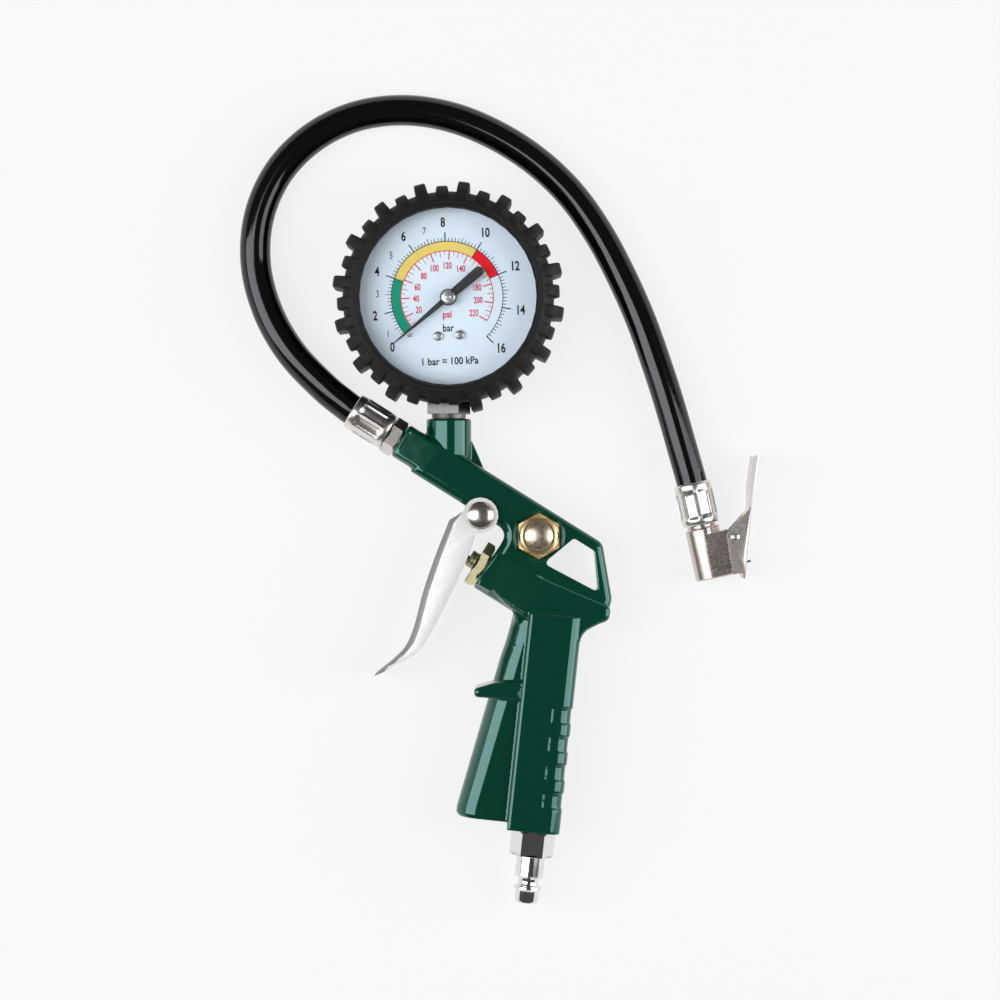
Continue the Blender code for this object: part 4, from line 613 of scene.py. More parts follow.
def even_web(ob, foot):
    """Run the rounded front of the grip straight up to the head, where it grows into it."""
    points, down, x, y = along(ob, foot, INLET_AXIS)
    height = -down - WEB_TOP
    centre = WEB_NOSE - WEB_REACH + height * WEB_FLARE
    ahead = np.maximum(centre - x, 0.0)
    size = np.maximum(np.hypot(ahead / WEB_NOSE, y / WEB_HALF), 1e-6)
    rise = ramp(height, *WEB_FADE)
    rise = rise * rise * (3.0 - 2.0 * rise)
    weight = (1.0 - rise) * ramp(x, *WEB_FRONT) * ramp(height, *WEB_START)
    weight *= (size > WEB_NEAR[0]) & (size < WEB_NEAR[1])
    change = weight * (1.0 / size - 1.0)
    points -= np.outer(change * ahead, np.array(UP.cross(INLET_AXIS))) * MM
    points[:, 2] += change * y * MM
    move(ob, points)


def square_off(ob, face, rows, high, wide, fade):
    """Flatten the sides of a rounded boss that runs back along the barrel from the middle of its face.

    Rows give the section that is there, the half height and half width what it becomes, before it fades out.
    """
    points, back, across, up = along(ob, face, BARREL)
    place, tall, broad, power = (np.array(column) for column in zip(*rows))
    p = np.interp(back, place, power)
    tall, broad = np.interp(back, place, tall), np.interp(back, place, broad)
    old = ((np.abs(up) / tall) ** p + (np.abs(across) / broad) ** p) ** (1 / p)
    new = ((np.abs(up) / high) ** SQUARENESS + (np.abs(across) / wide) ** SQUARENESS) ** (1 / SQUARENESS)
    weight = ramp(back, fade[1], fade[0]) * ramp(back, *FACE_RAMP) * ramp(old, *OUTSIDE_RAMP)
    change = weight * (old / np.maximum(new, 1e-6) - 1)
    points += np.outer(across * change, np.array(ACROSS)) * MM
    points[:, 2] += up * change * MM
    move(ob, points)


class INFLATOR_OT_body(Operator):
    """Painted casting of the gun"""

    bl_idname = "inflator.body"
    bl_label = "Body casting"

    def execute(self, context):
        ob = cast_piece("body_casting", "gun_body")
        # Middles of the two squared faces and of the grip's foot, measured from what is screwed into them
        nose = seat("hose_ferrule", -BARREL, UP).translation + BARREL * 6.0 * MM
        chamber = seat("valve_nut", -BARREL, UP).translation - BARREL * 7.7 * MM
        foot = seat("inlet_nipple", INLET_AXIS, UP).translation + INLET_AXIS * 12.0 * MM
        square_off(ob, nose, NOSE_ROWS, high=8.9, wide=7.7, fade=(8.5, 11.0))
        square_off(ob, chamber, CHAMBER_ROWS, high=9.6, wide=8.8, fade=(7.0, 14.0))
        level(ob, nose, NOSE_LEVEL, reach=(2.0, 15.0), breadth=(-5.6, 5.6))
        level(ob, chamber, CHAMBER_LEVEL, reach=(1.2, 24.0), breadth=(-7.2, 8.0))
        even_web(ob, foot)
        settle(ob, "paint", "gun", ["gun_body"])
        return {"FINISHED"}


# Plug of the quick coupling behind its hexagon: radius and distance
PLUG_TIP = [
    (6.3, 0.0), (6.0, 0.4), (6.0, 8.4), (5.6, 9.0), (4.45, 9.6), (4.3, 10.2), (4.3, 11.6), (4.5, 12.2),
    (5.6, 12.7), (5.8, 13.1), (5.8, 13.9), (5.5, 14.4), (5.05, 14.8), (5.0, 15.2), (4.97, 18.8), (4.9, 19.1),
    (4.6, 19.6), (4.1, 19.9), (2.9, 19.9), (2.6, 19.6),
]


class INFLATOR_OT_inlet(Operator):
    """Bright plug of a quick coupling at the foot of the grip"""

    bl_idname = "inflator.inlet"
    bl_label = "Inlet plug"

    def execute(self, context):
        place = seat("inlet_nipple", INLET_AXIS, UP.cross(INLET_AXIS))
        bm = nut([(2.6, 0.0), (5.8, 0.0), (6.6, 0.8)], face=12.3, depth=10.5, flats=16.0, chamfer=1.1,
                 tip=PLUG_TIP)
        place_piece("inlet_plug", bm, place, "chrome", "gun", ["inlet_nipple"], sharp=28.0)
        return {"FINISHED"}


# Upright share of a face's normal below which the trigger's sheet counts as bent or cut and gets the darker bend
# finish, which is painted shade
TRIGGER_SHADE_UPRIGHT = 0.985
# Radius of the trigger's rivet, height of its rim and of the dome on it
RIVET, RIVET_RIM, RIVET_DOME = 5.8, 0.4, 2.2
# Gland behind the hexagon of the valve's nut: radius and distance
GLAND_TIP = [(3.9, 0.0), (3.7, 0.3), (3.7, 1.2), (3.35, 1.5), (3.7, 1.8), (3.7, 2.9), (3.2, 3.4), (1.9, 3.4)]


class INFLATOR_OT_trigger(Operator):
    """Trigger lever with its rivet and the valve that it presses"""

    bl_idname = "inflator.trigger"
    bl_label = "Trigger and valve"

    def execute(self, context):
        sheet = trimmed("trigger_sheet", "trigger_lever", "zinc", 0.0002)
        # Painted shade: faces of the sheet that tilt away from upright get the darker bend finish
        two_tone(sheet, "bend", lambda face: abs(face.normal.z) < TRIGGER_SHADE_UPRIGHT)
        top = depth_of("trigger_pin") - RIVET_RIM - RIVET_DOME
        rim = top + RIVET_RIM
        rows = [(0, 0), (3.4, 0), (4.2, 0.6), (4.2, 1.2), (2.4, 1.2), (2.4, top), (RIVET, top), (RIVET, rim)]
        rows += [(RIVET * math.cos(k / 5), rim + RIVET_DOME * math.sin(k / 5)) for k in range(1, 8)]
        bm = turned(rows + [(0, rim + RIVET_DOME)])
        place = seat("trigger_pin", UP, EAST)
        place_piece("trigger_rivet", bm, place, "nickel", "gun", ["trigger_pin"], sharp=30.0)
        bm = nut([(1.9, 0.0), (5.7, 0.0)], face=8.0, depth=4.2, flats=17.0, chamfer=1.0, tip=GLAND_TIP)
        place = seat("valve_nut", -BARREL, ACROSS)
        place_piece("valve_gland_nut", bm, place, "olive", "gun", ["valve_nut"], sharp=28.0)
        dress("steel", "valve_plunger")
        pressed_spring("valve_coil", "valve_spring")
        dress("seal", "valve_washer")
        return {"FINISHED"}


# Dish in the end of the deflation valve's nut: radius and distance from the end of its hexagon
CAP_TIP = [(7.7, 0.0), (7.4, -0.08), (6.9, -0.4), (6.45, -0.9), (6.4, -1.1), (6.4, -4.6), (2.6, -4.6)]
# Head of the button: radius and distance from its top
BUTTON_HEAD = [(2.3, -3.25), (6.0, -3.25), (6.0, -1.75), (5.85, -1.35), (5.3, -1.0), (4.4, -0.64),
               (3.1, -0.31), (1.6, -0.08), (0, 0)]


class INFLATOR_OT_deflate(Operator):
    """Cap nut on the side of the barrel with its domed button"""

    bl_idname = "inflator.deflate"
    bl_label = "Deflate valve"

    def execute(self, context):
        corner = Vector(spoke(1.0, math.radians(-30.0), 0.0))
        bm = nut([(2.6, 0.0), (7.6, 0.0)], face=7.5, depth=4.2, flats=16.8, chamfer=1.0, tip=CAP_TIP)
        place = seat("deflate_nut", UP, corner)
        place_piece("deflate_cap_nut", bm, place, "brass", "gun", ["deflate_nut"], sharp=28.0)
        top = depth_of("deflate_button")
        rows = [(0, 0), (4.1, 0), (4.1, 1.4), (2.3, 1.4)] + [(radius, top + z) for radius, z in BUTTON_HEAD]
        bm, place = turned(rows), seat("deflate_button", UP, BARREL)
        place_piece("deflate_push_button", bm, place, "button", "deflate", ["deflate_button"])
        dress("seal", "deflate_washer")
        pressed_spring("deflate_coil", "deflate_spring")
        return {"FINISHED"}


# Gauge, in millimetres about its middle

# Lugs round the boot, and the angle of the first
LUG_COUNT = 32
LUG_FIRST = math.radians(82.1)
# Columns across one lug and its gap: degrees from the middle of the lug, and share of the lug's height
LUG_COLUMNS = [(-3.5, 0.0), (-3.2, 0.5), (-2.85, 0.92), (-2.3, 1.0), (0.0, 1.0), (2.3, 1.0), (2.85, 0.92),
               (3.2, 0.5), (3.5, 0.0), (5.625, 0.0)]
# Outer wall of the boot and the tall, stub and short lugs on it: radius and height of matching rows
BOOT_WALL = [(44.0, 3.6), (44.0, 4.6), (44.0, 6.2), (44.0, 17.0), (44.0, 18.2), (44.0, 19.6), (44.0, 28.0),
             (43.5, 31.0), (42.4, 33.6), (41.2, 35.4), (40.4, 36.1)]
TALL_LUG = [(44.0, 3.6), (47.9, 4.8), (48.5, 5.8), (48.5, 17.0), (48.5, 18.2), (48.5, 19.6), (48.4, 28.0),
            (47.4, 31.8), (45.0, 34.6), (42.0, 36.2), (40.4, 36.1)]
STUB_LUG = BOOT_WALL[:4] + [(44.5, 18.4), (44.7, 19.4), (44.7, 28.0), (44.1, 31.3), (42.9, 34.0),
                            (41.4, 35.8), (40.4, 36.1)]
SHORT_LUG = BOOT_WALL[:4] + [(46.0, 18.4), (46.5, 19.4), (46.4, 28.0), (45.6, 31.4), (43.9, 34.3),
                             (41.7, 36.0), (40.4, 36.1)]
# Plain rows of the boot below the lugs, and above them over the lip and down the inside
BOOT_FOOT = [(38.0, 0.0), (40.8, 0.0), (42.0, 0.5), (43.2, 1.8)]
BOOT_LIP = [(39.8, 36.6), (39.2, 36.93), (38.5, 36.95), (37.9, 36.7), (37.5, 36.2), (37.4, 35.6),
            (40.3, 35.6), (40.3, 2.7), (20.0, 2.7)]
# Direction of the stem, and how near to it the lugs are stubs
STEM_ANGLE, STEM_CLEAR = math.radians(270.0), math.radians(12.0)
# Opening for the stem: half its width, and how far out it runs
STEM_HALF, STEM_SPAN = 10.17, (-53.0, -35.0)


def boot_mesh():
    """Rubber cover like a tyre tread, tall and short lugs in turn, with a lip round the window."""
    columns = []
    for k in range(LUG_COUNT):
        centre = LUG_FIRST + 2 * math.pi * k / LUG_COUNT
        off = abs((centre - STEM_ANGLE + math.pi) % (2 * math.pi) - math.pi)
        lug = STUB_LUG if off < STEM_CLEAR else SHORT_LUG if k % 2 else TALL_LUG
        columns += [(centre + math.radians(angle), lug, share) for angle, share in LUG_COLUMNS]

    def plain(rows):
        return [[spoke(r, a, z) for a, _, _ in columns] for r, z in rows]

    wall = []
    for i, (r, z) in enumerate(BOOT_WALL):
        wall.append([spoke(r + (lug[i][0] - r) * share, a, z + (lug[i][1] - z) * share)
                     for a, lug, share in columns])
    floor = ring_of(0.0, BOOT_LIP[-1][1])
    return loft([ring_of(0.0, 0.0)] + plain(BOOT_FOOT) + wall + plain(BOOT_LIP) + [floor])


class INFLATOR_OT_boot(Operator):
    """Rubber boot round the gauge"""

    bl_idname = "inflator.boot"
    bl_label = "Gauge boot"

    def execute(self, context):
        bm = boot_mesh()
        bm.transform(Matrix.Scale(MM, 4))
        ob = new_object("tread_boot", mesh_of(bm, "tread_boot", 48.0))
        mid = MID_Z / MM
        low, high = ((side * STEM_HALF, y, mid + side * STEM_HALF) for side, y in zip((-1, 1), STEM_SPAN))
        cut(ob, [block(low, high)], Matrix())
        settle(ob, "boot", "gun", ["gauge_boot"])
        return {"FINISHED"}


# Angle where the scale starts, a little above no pressure, so that the pointer rests firmly
SCALE_START = math.radians(220.6)
# Greatest pressures of the two scales, and one psi in bar
TOP_BAR, TOP_PSI, PSI = 16, 220, 0.068948
# Angles at which the figures of the two scales stand
BAR_FIGURES = {0: 222.7, 2: 195.0, 4: 160.3, 6: 126.0, 8: 93.4, 10: 59.4, 12: 24.4, 14: -10.3, 16: -43.7}
PSI_FIGURES = {20: 204.7, 40: 183.6, 60: 161.9, 80: 138.4, 100: 114.6, 120: 90.0, 140: 64.3, 160: 40.0,
               180: 17.2, 200: -6.1, 220: -31.2}
# Middle of the print on the dial
PRINT_MIDDLE = (-0.5, 0.2)
# Thickness of the print, and of lettering as a share of its size
PRINT_DEPTH, LETTER_DEPTH = 0.03, 0.004
# Height of a figure as a share of its lettering size
FIGURE_HEIGHT = 0.72
# Inner and outer radius of the circles of the two scales and of the coloured bands between them
BAR_CIRCLE, PSI_CIRCLE, BAND_CIRCLE = (23.1, 23.42), (19.1, 19.42), (19.4, 23.15)
# Radius where the marks of each scale start, and where its long, middle and short marks end
BAR_MARKS, PSI_MARKS = (23.2, 27.0, 25.6, 24.8), (19.2, 15.6, 16.7, 17.7)
# Widths of long marks, of other marks and of the lines between bands
LONG_MARK, MARK, BAND_LINE = 0.48, 0.28, 0.34
# Bands and the pressures in bar between which they lie
BANDS = (("low_band", 0, 4), ("middle_band", 4, 10), ("high_band", 10, 12))
# How far bands lie below the print, and the lines between them above it
BAND_DROP, LINE_RISE = 0.005, 0.02
# Steps round a circle and round a band
CIRCLE_STEPS, BAND_STEPS = 120, 60


def scale_angle(bar):
    """Angle on the dial of a pressure in bar."""
    size = settings("sizes")
    return min(size.scale_zero - size.scale_sweep * bar / TOP_BAR, SCALE_START)


def sector(inner, outer, start, end, top, steps):
    """Thin sector of a ring between two pressures."""
    start, end = scale_angle(start), scale_angle(end)
    corners = ((inner, top - PRINT_DEPTH), (outer, top - PRINT_DEPTH), (outer, top), (inner, top))
    angles = [start + (end - start) * k / steps for k in range(steps + 1)]
    return loft([[spoke(r, a, z) for r, z in corners] for a in angles])


def merge(bm, other):
    """Move one bmesh into another."""
    mesh = bpy.data.meshes.new("part")
    other.to_mesh(mesh)
    other.free()
    bm.from_mesh(mesh)
    bpy.data.meshes.remove(mesh)


def tick(bm, bar, inner, outer, width, top):
    """Radial line at a pressure."""
    line = block((inner, -width / 2, top - PRINT_DEPTH), (outer, width / 2, top))
    line.transform(Matrix.Rotation(scale_angle(bar), 4, "Z"))
    merge(bm, line)


def figure(bm, text, radius, angle, height, squeeze, top, weight):
    """Flat lettering of a height, squeeze and weight, centred at a radius and an angle on the dial."""
    curve = bpy.data.curves.new("figure", "FONT")
    curve.body = text
    curve.align_x = "CENTER"
    curve.align_y = "CENTER"
    curve.extrude = LETTER_DEPTH
    curve.offset = weight
    curve.resolution_u = 3
    ob = new_object("figure", curve)
    mesh = evaluated_mesh(ob)
    bpy.data.objects.remove(ob, do_unlink=True)
    bpy.data.curves.remove(curve)
    letters = bmesh.new()
    letters.from_mesh(mesh)
    bpy.data.meshes.remove(mesh)
    size = height / FIGURE_HEIGHT
    place = Matrix.Translation(spoke(radius, angle, top - LETTER_DEPTH * size))
    spin = Matrix.Rotation(settings("sizes").dial_turn, 4, "Z")
    letters.transform(place @ spin @ Matrix.Diagonal((size * squeeze, size, size, 1.0)))
    merge(bm, letters)


def print_dial(top):
    """Scale, bands and figures as thin raised print."""
    ink = sector(*BAR_CIRCLE, 0, TOP_BAR, top, CIRCLE_STEPS)
    red = sector(*PSI_CIRCLE, 0, TOP_PSI * PSI, top, CIRCLE_STEPS)
    pale = bmesh.new()
    # Marks at fifths of a bar, without the first two, and at every fifth psi from ten on
    scales = ((ink, 1 / 5, [0, *range(3, 5 * TOP_BAR + 1)], 10, BAR_MARKS),
              (red, PSI, range(10, TOP_PSI + 5, 5), 20, PSI_MARKS))
    for bm, unit, marks, period, radii in scales:
        for k in marks:
            rank = 1 if k % period == 0 else 2 if k % (period / 2) == 0 else 3
            ends = sorted((radii[0], radii[rank]))
            tick(bm, k * unit, *ends, LONG_MARK if rank == 1 else MARK, top)
    for _, _, bar in BANDS:
        tick(ink, bar, BAND_CIRCLE[0], BAR_MARKS[0], BAND_LINE, top + LINE_RISE)
    for bar, angle in BAR_FIGURES.items():
        figure(ink, str(bar), 31.0, math.radians(angle), 3.9, 0.72, top, 0.028)
    for bar in (1, 3, 5, 7):
        figure(pale, str(bar), 29.0, scale_angle(bar), 3.0, 0.66, top, 0.014)
    for psi, angle in PSI_FIGURES.items():
        figure(red, str(psi), 13.0, math.radians(angle), 2.7, 0.68, top, 0.022)
    south = -math.pi / 2
    figure(red, "psi", 7.3, south, 3.1, 0.82, top, 0.022)
    figure(ink, "bar", 13.0, south + math.radians(1.8), 3.1, 0.82, top, 0.02)
    figure(ink, "1 bar = 100 kPa", 26.8, south + math.radians(2.1), 3.1, 0.87, top, 0.02)
    pieces = [(name, sector(*BAND_CIRCLE, start, end, top - BAND_DROP, BAND_STEPS))
              for name, start, end in BANDS]
    pieces += [("ink", ink), ("red_ink", red), ("pale_ink", pale)]
    centre = Matrix.Translation((PRINT_MIDDLE[0] * MM, PRINT_MIDDLE[1] * MM, 0.0))
    for name, bm in pieces:
        place_piece("dial_" + name, bm, centre, name, "gun", ())


# Hub cap of the pointer: radius and z
HUB_ROWS = [(0, 0), (3.0, 0), (3.0, 0.7), (2.75, 1.05), (2.3, 1.2), (1.0, 1.25), (0.95, 1.5), (0, 1.5)]
# Head of a dial screw: radius and distance from its top
SCREW_HEAD = [(0.9, -1.1), (2.0, -1.1), (2.0, -0.55), (1.7, -0.2), (1.1, -0.03), (0, 0)]
# Its crossed slots: half length, half width and depth
SCREW_SLOTS = ((1.3, 0.25, 0.6), (0.25, 1.3, 0.55))
# Columns round small pins and screws
FEW_COLUMNS = 36


def small_metal():
    """Hub cap, dial screws and stem."""
    place = seat("pointer_cap", UP, EAST)
    bm = turned(HUB_ROWS)
    place_piece("pointer_hub_cap", bm, place, "steel", "pointer", ["pointer_cap"], sharp=25.0)
    for node in ("dial_screw_left", "dial_screw_right"):
        place = seat(node, UP, Vector((1.0, 0.6, 0.0)))
        top = depth_of(node)
        bm = turned([(0, 0), (0.9, 0)] + [(radius, top + z) for radius, z in SCREW_HEAD], FEW_COLUMNS)
        ob = place_piece(node + "_head", bm, place, "steel", "gun", [node])
        slots = [block((-x, -y, top - depth), (x, y, top + SLOT_CLEAR)) for x, y, depth in SCREW_SLOTS]
        cut(ob, slots, place)
        ob.data.set_sharp_from_angle(angle=math.radians(30.0))
    # The stem's dark finish is partly painted shade for the boot's shadow over it
    trimmed("stem_socket", "gauge_socket", "stem", 0.0004)


class INFLATOR_OT_gauge(Operator):
    """Dial with its print, pointer, window, case and wheelwork"""

    bl_idname = "inflator.gauge"
    bl_label = "Gauge"

    def execute(self, context):
        print_dial((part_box("gauge_dial")[1].z + settings("sizes").print_height) / MM)
        trimmed("pointer_hand", "gauge_pointer", "black", 0.0001)
        dress("dial", "gauge_dial")
        dress("black", "gauge_case", "lens_ring")
        dress("glass", "gauge_lens")
        dress("steel", "pointer_stop_pin", "pinion_shaft", "link_rod", "hairspring")
        dress("brass", "sector_gear", "bourdon_tube", "movement_rear_plate", "movement_front_plate")
        dress("copper", "gauge_washer")
        small_metal()
        return {"FINISHED"}


# Hose and chuck, in millimetres

# Ferrule: its length, and rows of radius, z and share of the crimp's depth
FERRULE = 17.8
FERRULE_ROWS = [
    (7.1, 0.0, 0), (7.35, 0.12, 0), (7.75, 1.0, 0), (7.85, 2.0, 0), (7.85, 2.6, 0.05), (7.85, 3.1, 0.45),
    (7.85, 3.7, 0.9), (7.85, 4.6, 1.0), (7.85, 9.0, 1.0), (7.85, 12.6, 1.0), (7.85, 13.5, 0.9),
    (7.85, 14.2, 0.45), (7.85, 14.8, 0.05), (7.85, 15.6, 0), (7.8, 16.8, 0), (7.65, 17.55, 0),
    (7.4, FERRULE, 0), (6.8, FERRULE, 0), (6.8, 1.6, 0), (4.5, 1.6, 0), (4.5, 0.0, 0),
]
# Dents round a ferrule, columns across each, their depth, and where across its width a dent starts and slopes
FLUTES, FLUTE_COLUMNS, FLUTE_DEPTH = 8, 14, 0.75
FLUTE_START, FLUTE_SLOPE = 0.86, 0.22
# How far inside a ferrule the hose ends, how far outside it is straight, and points per span of its route
HOSE_INSET, HOSE_CLEAR, HOSE_STEPS = 1.9, 1.5, 8
# Tail of the fitting at the nose behind its hexagon: radius and distance
FITTING_TIP = [(4.0, 0.0), (4.0, 13.0), (3.2, 14.2), (1.8, 14.2)]
# Step below the chuck's shoulder: radius that stays, what is cut outside it and its heights
CHUCK_R = 7.2
SHOULDER = [(0.0, 10.0), (13.0, 10.0), (13.0, -10.0), (0.0, -10.0)]
SHOULDER_HEIGHTS = (0.5, 4.4)
# Slots in the sides of the chuck: where they run, and their depth
SLOT_LOW, SLOT_HIGH = (2.4, 19.2), (9.8, 19.85)
SLOT_DEPTH = 0.8
# Hinge pin of the chuck: radius and z
PIN_ROWS = [(0, 0), (1.7, 0), (1.7, 0.5), (1.2, 0.5), (1.2, 18.5), (2.0, 18.5), (2.0, 18.75), (1.8, 19.1),
            (1.3, 19.4), (0.7, 19.55), (0, 19.6)]
# Length of the lever's handle, and upright share of a normal above which its faces are its flat, which gets the
# lighter zinc finish as painted light
HANDLE, HANDLE_LIT_UPRIGHT = 21.5, 0.6


def smooth(points):
    """Points of a smooth curve through route points."""
    out = []
    ends = [2 * points[0] - points[1]] + points + [2 * points[-1] - points[-2]]
    for a, b, c, d in zip(ends, ends[1:], ends[2:], ends[3:]):
        for k in range(HOSE_STEPS):
            t = k / HOSE_STEPS
            bend = (2 * a - 5 * b + 4 * c - d) * t * t + (3 * b - 3 * c + d - a) * t**3
            out.append(0.5 * (2 * b + (c - a) * t + bend))
    out.append(points[-1])
    return out


def ferrule_mesh():
    """Sleeve crimped with long dents, starting at z = 0 with its collar."""
    columns = FLUTES * FLUTE_COLUMNS
    rings = []
    for r, z, dent in FERRULE_ROWS:
        ring = []
        for k in range(columns):
            wave = abs((k % FLUTE_COLUMNS) / (FLUTE_COLUMNS / 2) - 1)
            flat = min(1.0, max(0.0, (FLUTE_START - wave) / FLUTE_SLOPE))
            flat = flat * flat * (3 - 2 * flat)
            ring.append(spoke(r - FLUTE_DEPTH * dent * flat, 2 * math.pi * k / columns, z))
        rings.append(ring)
    return loft(rings, closed=True)


def chuck_pieces(top):
    """Pieces of the clip-on chuck, whose axis starts at a point at the end of the hose."""
    dress("steel", "chuck_spring")
    dress("seal", "chuck_gasket")
    dress("brass", "core_pin")
    head = trimmed("chuck_head", "chuck_body", "chuck", 0.0003)
    outline = [spoke(CHUCK_R, math.pi * (k / 16 - 0.5), 0.0)[:2] for k in range(17)] + SHOULDER
    tools = [loft([[(x, y, z) for x, y in outline] for z in SHOULDER_HEIGHTS])]
    side = depth_of("chuck_body") / 2
    for low, high in ((side - SLOT_DEPTH, side + SLOT_CLEAR), (-side - SLOT_CLEAR, SLOT_DEPTH - side)):
        tools.append(block((SLOT_LOW[0], low, SLOT_LOW[1]), (SLOT_HIGH[0], high, SLOT_HIGH[1])))
    cut(head, tools, axes(top, CHUCK_AXIS, UP.cross(CHUCK_AXIS)))
    head.data.set_sharp_from_angle(angle=math.radians(EDGE_ANGLE))
    even = head.modifiers.new("even", "WEIGHTED_NORMAL")
    even.keep_sharp = True
    even.weight = 100
    applied(head)
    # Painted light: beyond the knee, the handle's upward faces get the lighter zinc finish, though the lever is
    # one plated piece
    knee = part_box("chuck_lever")[1] - Vector((0.0, HANDLE * MM, 0.0))
    lever = trimmed("chuck_thumb_lever", "chuck_lever", "satin", 0.0002, knee)
    two_tone(lever, "zinc", lambda face: face.center.y > knee.y and abs(face.normal.z) > HANDLE_LIT_UPRIGHT)
    pin = place_piece("chuck_hinge_pin", turned(PIN_ROWS, FEW_COLUMNS), seat("chuck_pin", UP, EAST), "ferrule",
                      "gun", ["chuck_pin"])
    return [
        head,
        pin,
        trimmed("chuck_hose_tail", "chuck_tail", "chuck", 0.0002),
        lever,
        trimmed("chuck_clip", "chuck_jaw", "steel", 0.0001),
        NODES["chuck_spring"],
        NODES["chuck_gasket"],
        NODES["core_pin"],
    ]


def hose_line(near, far, on_hose):
    """The hose itself, from inside one ferrule to inside the other."""
    inset = Vector((0, 0, HOSE_INSET * MM))
    clear = Vector((0, 0, (FERRULE + HOSE_CLEAR) * MM))
    start, leave, arrive, end = near @ inset, near @ clear, far @ clear, far @ inset
    free = smooth([leave] + [Vector(p) for p in HOSE_ROUTE] + [arrive])
    line = [start, (start + leave) / 2] + free + [(arrive + end) / 2, end]
    curve = bpy.data.curves.new("rubber_hose", "CURVE")
    curve.dimensions = "3D"
    curve.bevel_depth = settings("sizes").hose / 2
    curve.bevel_resolution = 10
    curve.use_fill_caps = True
    spline = curve.splines.new("POLY")
    spline.points.add(len(line) - 1)
    for point, place in zip(spline.points, line):
        point.co = (*place, 1.0)
    spline.use_smooth = True
    ob = new_object("rubber_hose", curve)
    settle(ob, "hose", "gun", ["hose"])
    settings("sizes").hose


class INFLATOR_OT_hose(Operator):
    """Hose with its crimped ferrules, the fitting at the nose and the chuck on its far end"""

    bl_idname = "inflator.hose"
    bl_label = "Hose and chuck"

    def execute(self, context):
        near = seat("hose_ferrule", -BARREL, UP)
        far = seat("chuck_ferrule", -CHUCK_AXIS, UP)
        sleeves = (("nose_ferrule", near, "hose_ferrule"), ("chuck_sleeve", far, "chuck_ferrule"))
        _, sleeve = [place_piece(name, ferrule_mesh(), place, "ferrule", "gun", [node], sharp=40.0)
                     for name, place, node in sleeves]
        bm = nut([(1.8, 0.0), (4.2, 0.0), (4.8, 0.6)], face=10.8, depth=5.4, flats=14.0, chamfer=0.8,
                 tip=FITTING_TIP)
        place = seat("hose_fitting", -BARREL, ACROSS)
        place_piece("nose_fitting", bm, place, "nickel", "gun", ["hose_fitting"], sharp=28.0)
        hose_line(near, far, [sleeve] + chuck_pieces(far.translation))
        return {"FINISHED"}


# Studio

# Table that curves up far from the tool: radius and z in millimetres
TABLE_ROWS = [(0, -0.3), (1500.0, -0.3), (1750.0, 20.0), (1950.0, 90.0), (2080.0, 220.0), (2140.0, 420.0),
              (2150.0, 520.0)]
# Share of the table's look that is plain white, which leaves the rest to light and shadow
TABLE_GLOW = 0.8
# Point that the lamps face
LAMP_TARGET = Vector((0.0, -0.08, 0.0))


def soft_box(name, place, size):
    """Rectangular lamp that faces the tool."""
    lamp = bpy.data.lights.new(name, "AREA")
    lamp.shape = "RECTANGLE"
    lamp.size, lamp.size_y = size
    lamp.energy = settings("studio").lamp
    ob = new_object(name, lamp)
    ob.location = place
    ob.rotation_euler = (LAMP_TARGET - Vector(place)).to_track_quat("-Z", "Y").to_euler()
    ob.visible_camera = False


def calculated(tree, operation, first, second):
    """Output of a math node."""
    made = tree.nodes.new("ShaderNodeMath")
    made.operation = operation
    plug(tree, made.inputs[0], first)
    plug(tree, made.inputs[1], second)
    return made.outputs["Value"]


def white_table():
    """Table material that shows white to the eye and still takes a soft shadow."""
    made, tree = blank("white_table")
    paper = output_of(tree, "BsdfDiffuse", Color=(*settings("studio").floor, 1.0))
    glow = output_of(tree, "Emission")
    rays = tree.nodes.new("ShaderNodeLightPath").outputs
    seen = rays["Is Camera Ray"]
    for other in ("Is Glossy Ray", "Is Transmission Ray"):
        seen = calculated(tree, "MAXIMUM", seen, rays[other])
    show(tree, blend(tree, calculated(tree, "MULTIPLY", seen, TABLE_GLOW), paper, glow))
    return made


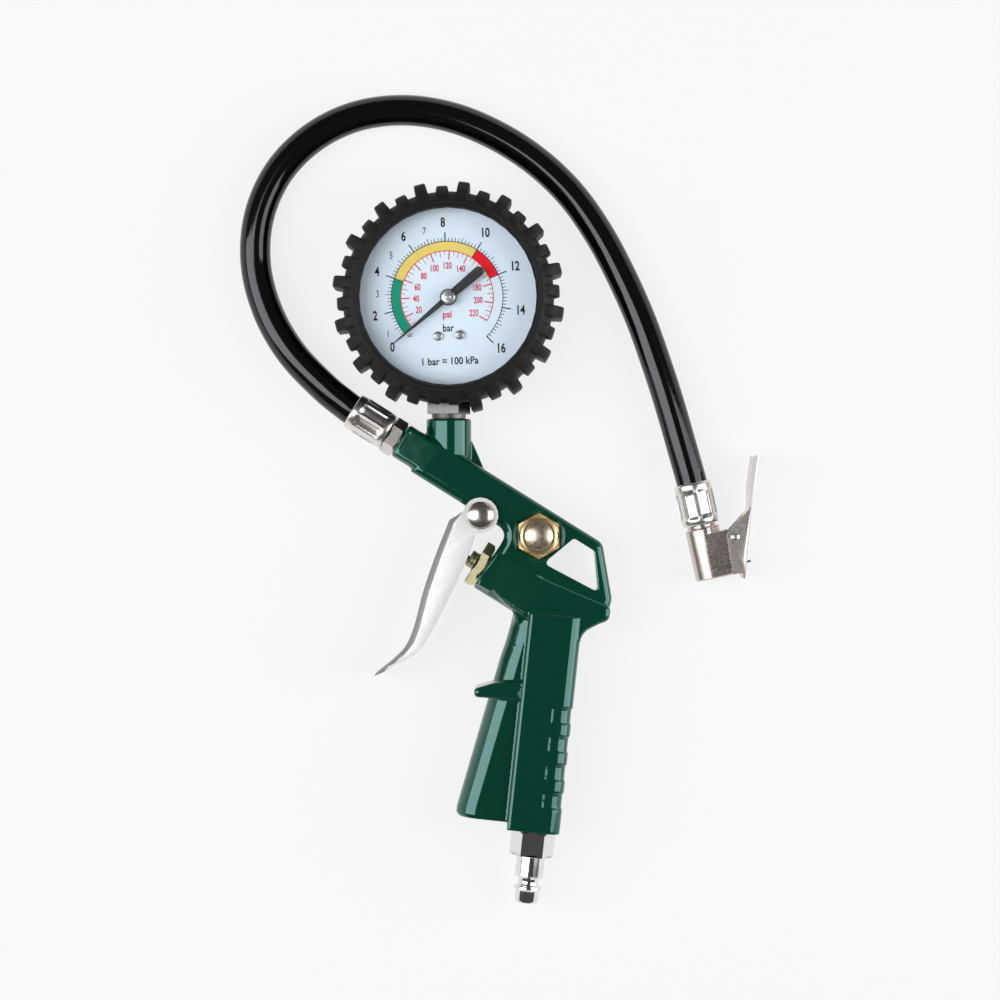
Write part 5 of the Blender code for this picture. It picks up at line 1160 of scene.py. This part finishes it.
class INFLATOR_OT_stage(Operator):
    """Table, lamps, ceiling light and camera"""

    bl_idname = "inflator.stage"
    bl_label = "Stage"

    def execute(self, context):
        studio = settings("studio")
        scene = context.scene
        bm = bmesh.new()
        skin(bm, [ring_of(radius, z) for radius, z in TABLE_ROWS])
        bm.transform(Matrix.Scale(MM, 4))
        table = new_object("table", mesh_of(bm, "table", 60.0))
        table.data.materials.append(white_table())
        soft_box("soft_box_left", (-0.82, -0.08, 1.01), (0.64, 1.5))
        soft_box("soft_box_right", (1.14, -0.08, 0.63), (0.8, 1.5))
        world = bpy.data.worlds.new("ceiling")
        world.use_nodes = True
        world.node_tree.nodes["Background"].inputs["Color"].default_value = (*studio.sky, 1.0)
        scene.world = world
        lens = bpy.data.cameras.new("camera")
        lens.lens = studio.focal
        lens.sensor_width = 36.0
        lens.clip_start = 0.05
        lens.clip_end = 20.0
        eye = new_object("camera", lens)
        eye.location = (studio.eye_x, studio.eye_y, studio.eye)
        scene.camera = eye
        scene.view_settings.view_transform = "Standard"
        return {"FINISHED"}


class INFLATOR_PT_panel(Panel):
    """Lists the steps that build the tool"""

    bl_idname = "INFLATOR_PT_panel"
    bl_label = "Tyre inflator"
    bl_space_type = "VIEW_3D"
    bl_region_type = "UI"
    bl_category = "Inflator"

    def draw(self, context):
        for step in STEPS:
            self.layout.operator(step.bl_idname)


STEPS = (
    INFLATOR_OT_stage,
    INFLATOR_OT_hose,
    INFLATOR_OT_body,
    INFLATOR_OT_inlet,
    INFLATOR_OT_trigger,
    INFLATOR_OT_deflate,
    INFLATOR_OT_boot,
    INFLATOR_OT_gauge,
)
GROUPS = {"colours": InflatorColours, "sizes": InflatorSizes, "studio": InflatorStudio}
CLASSES = (*GROUPS.values(), *STEPS, INFLATOR_PT_panel)


def register():
    for item in CLASSES:
        bpy.utils.register_class(item)
    for name, group in GROUPS.items():
        setattr(Scene, "inflator_" + name, PointerProperty(type=group))


def unregister():
    for name in GROUPS:
        delattr(Scene, "inflator_" + name)
    for item in reversed(CLASSES):
        bpy.utils.unregister_class(item)


def main():
    register()
    for ob in [o for o in bpy.data.objects if o.type in {"CAMERA", "LIGHT"}]:
        bpy.data.objects.remove(ob, do_unlink=True)
    for step in STEPS:
        getattr(bpy.ops.inflator, step.bl_idname.split(".")[1])()


if __name__ == "__main__":
    main()
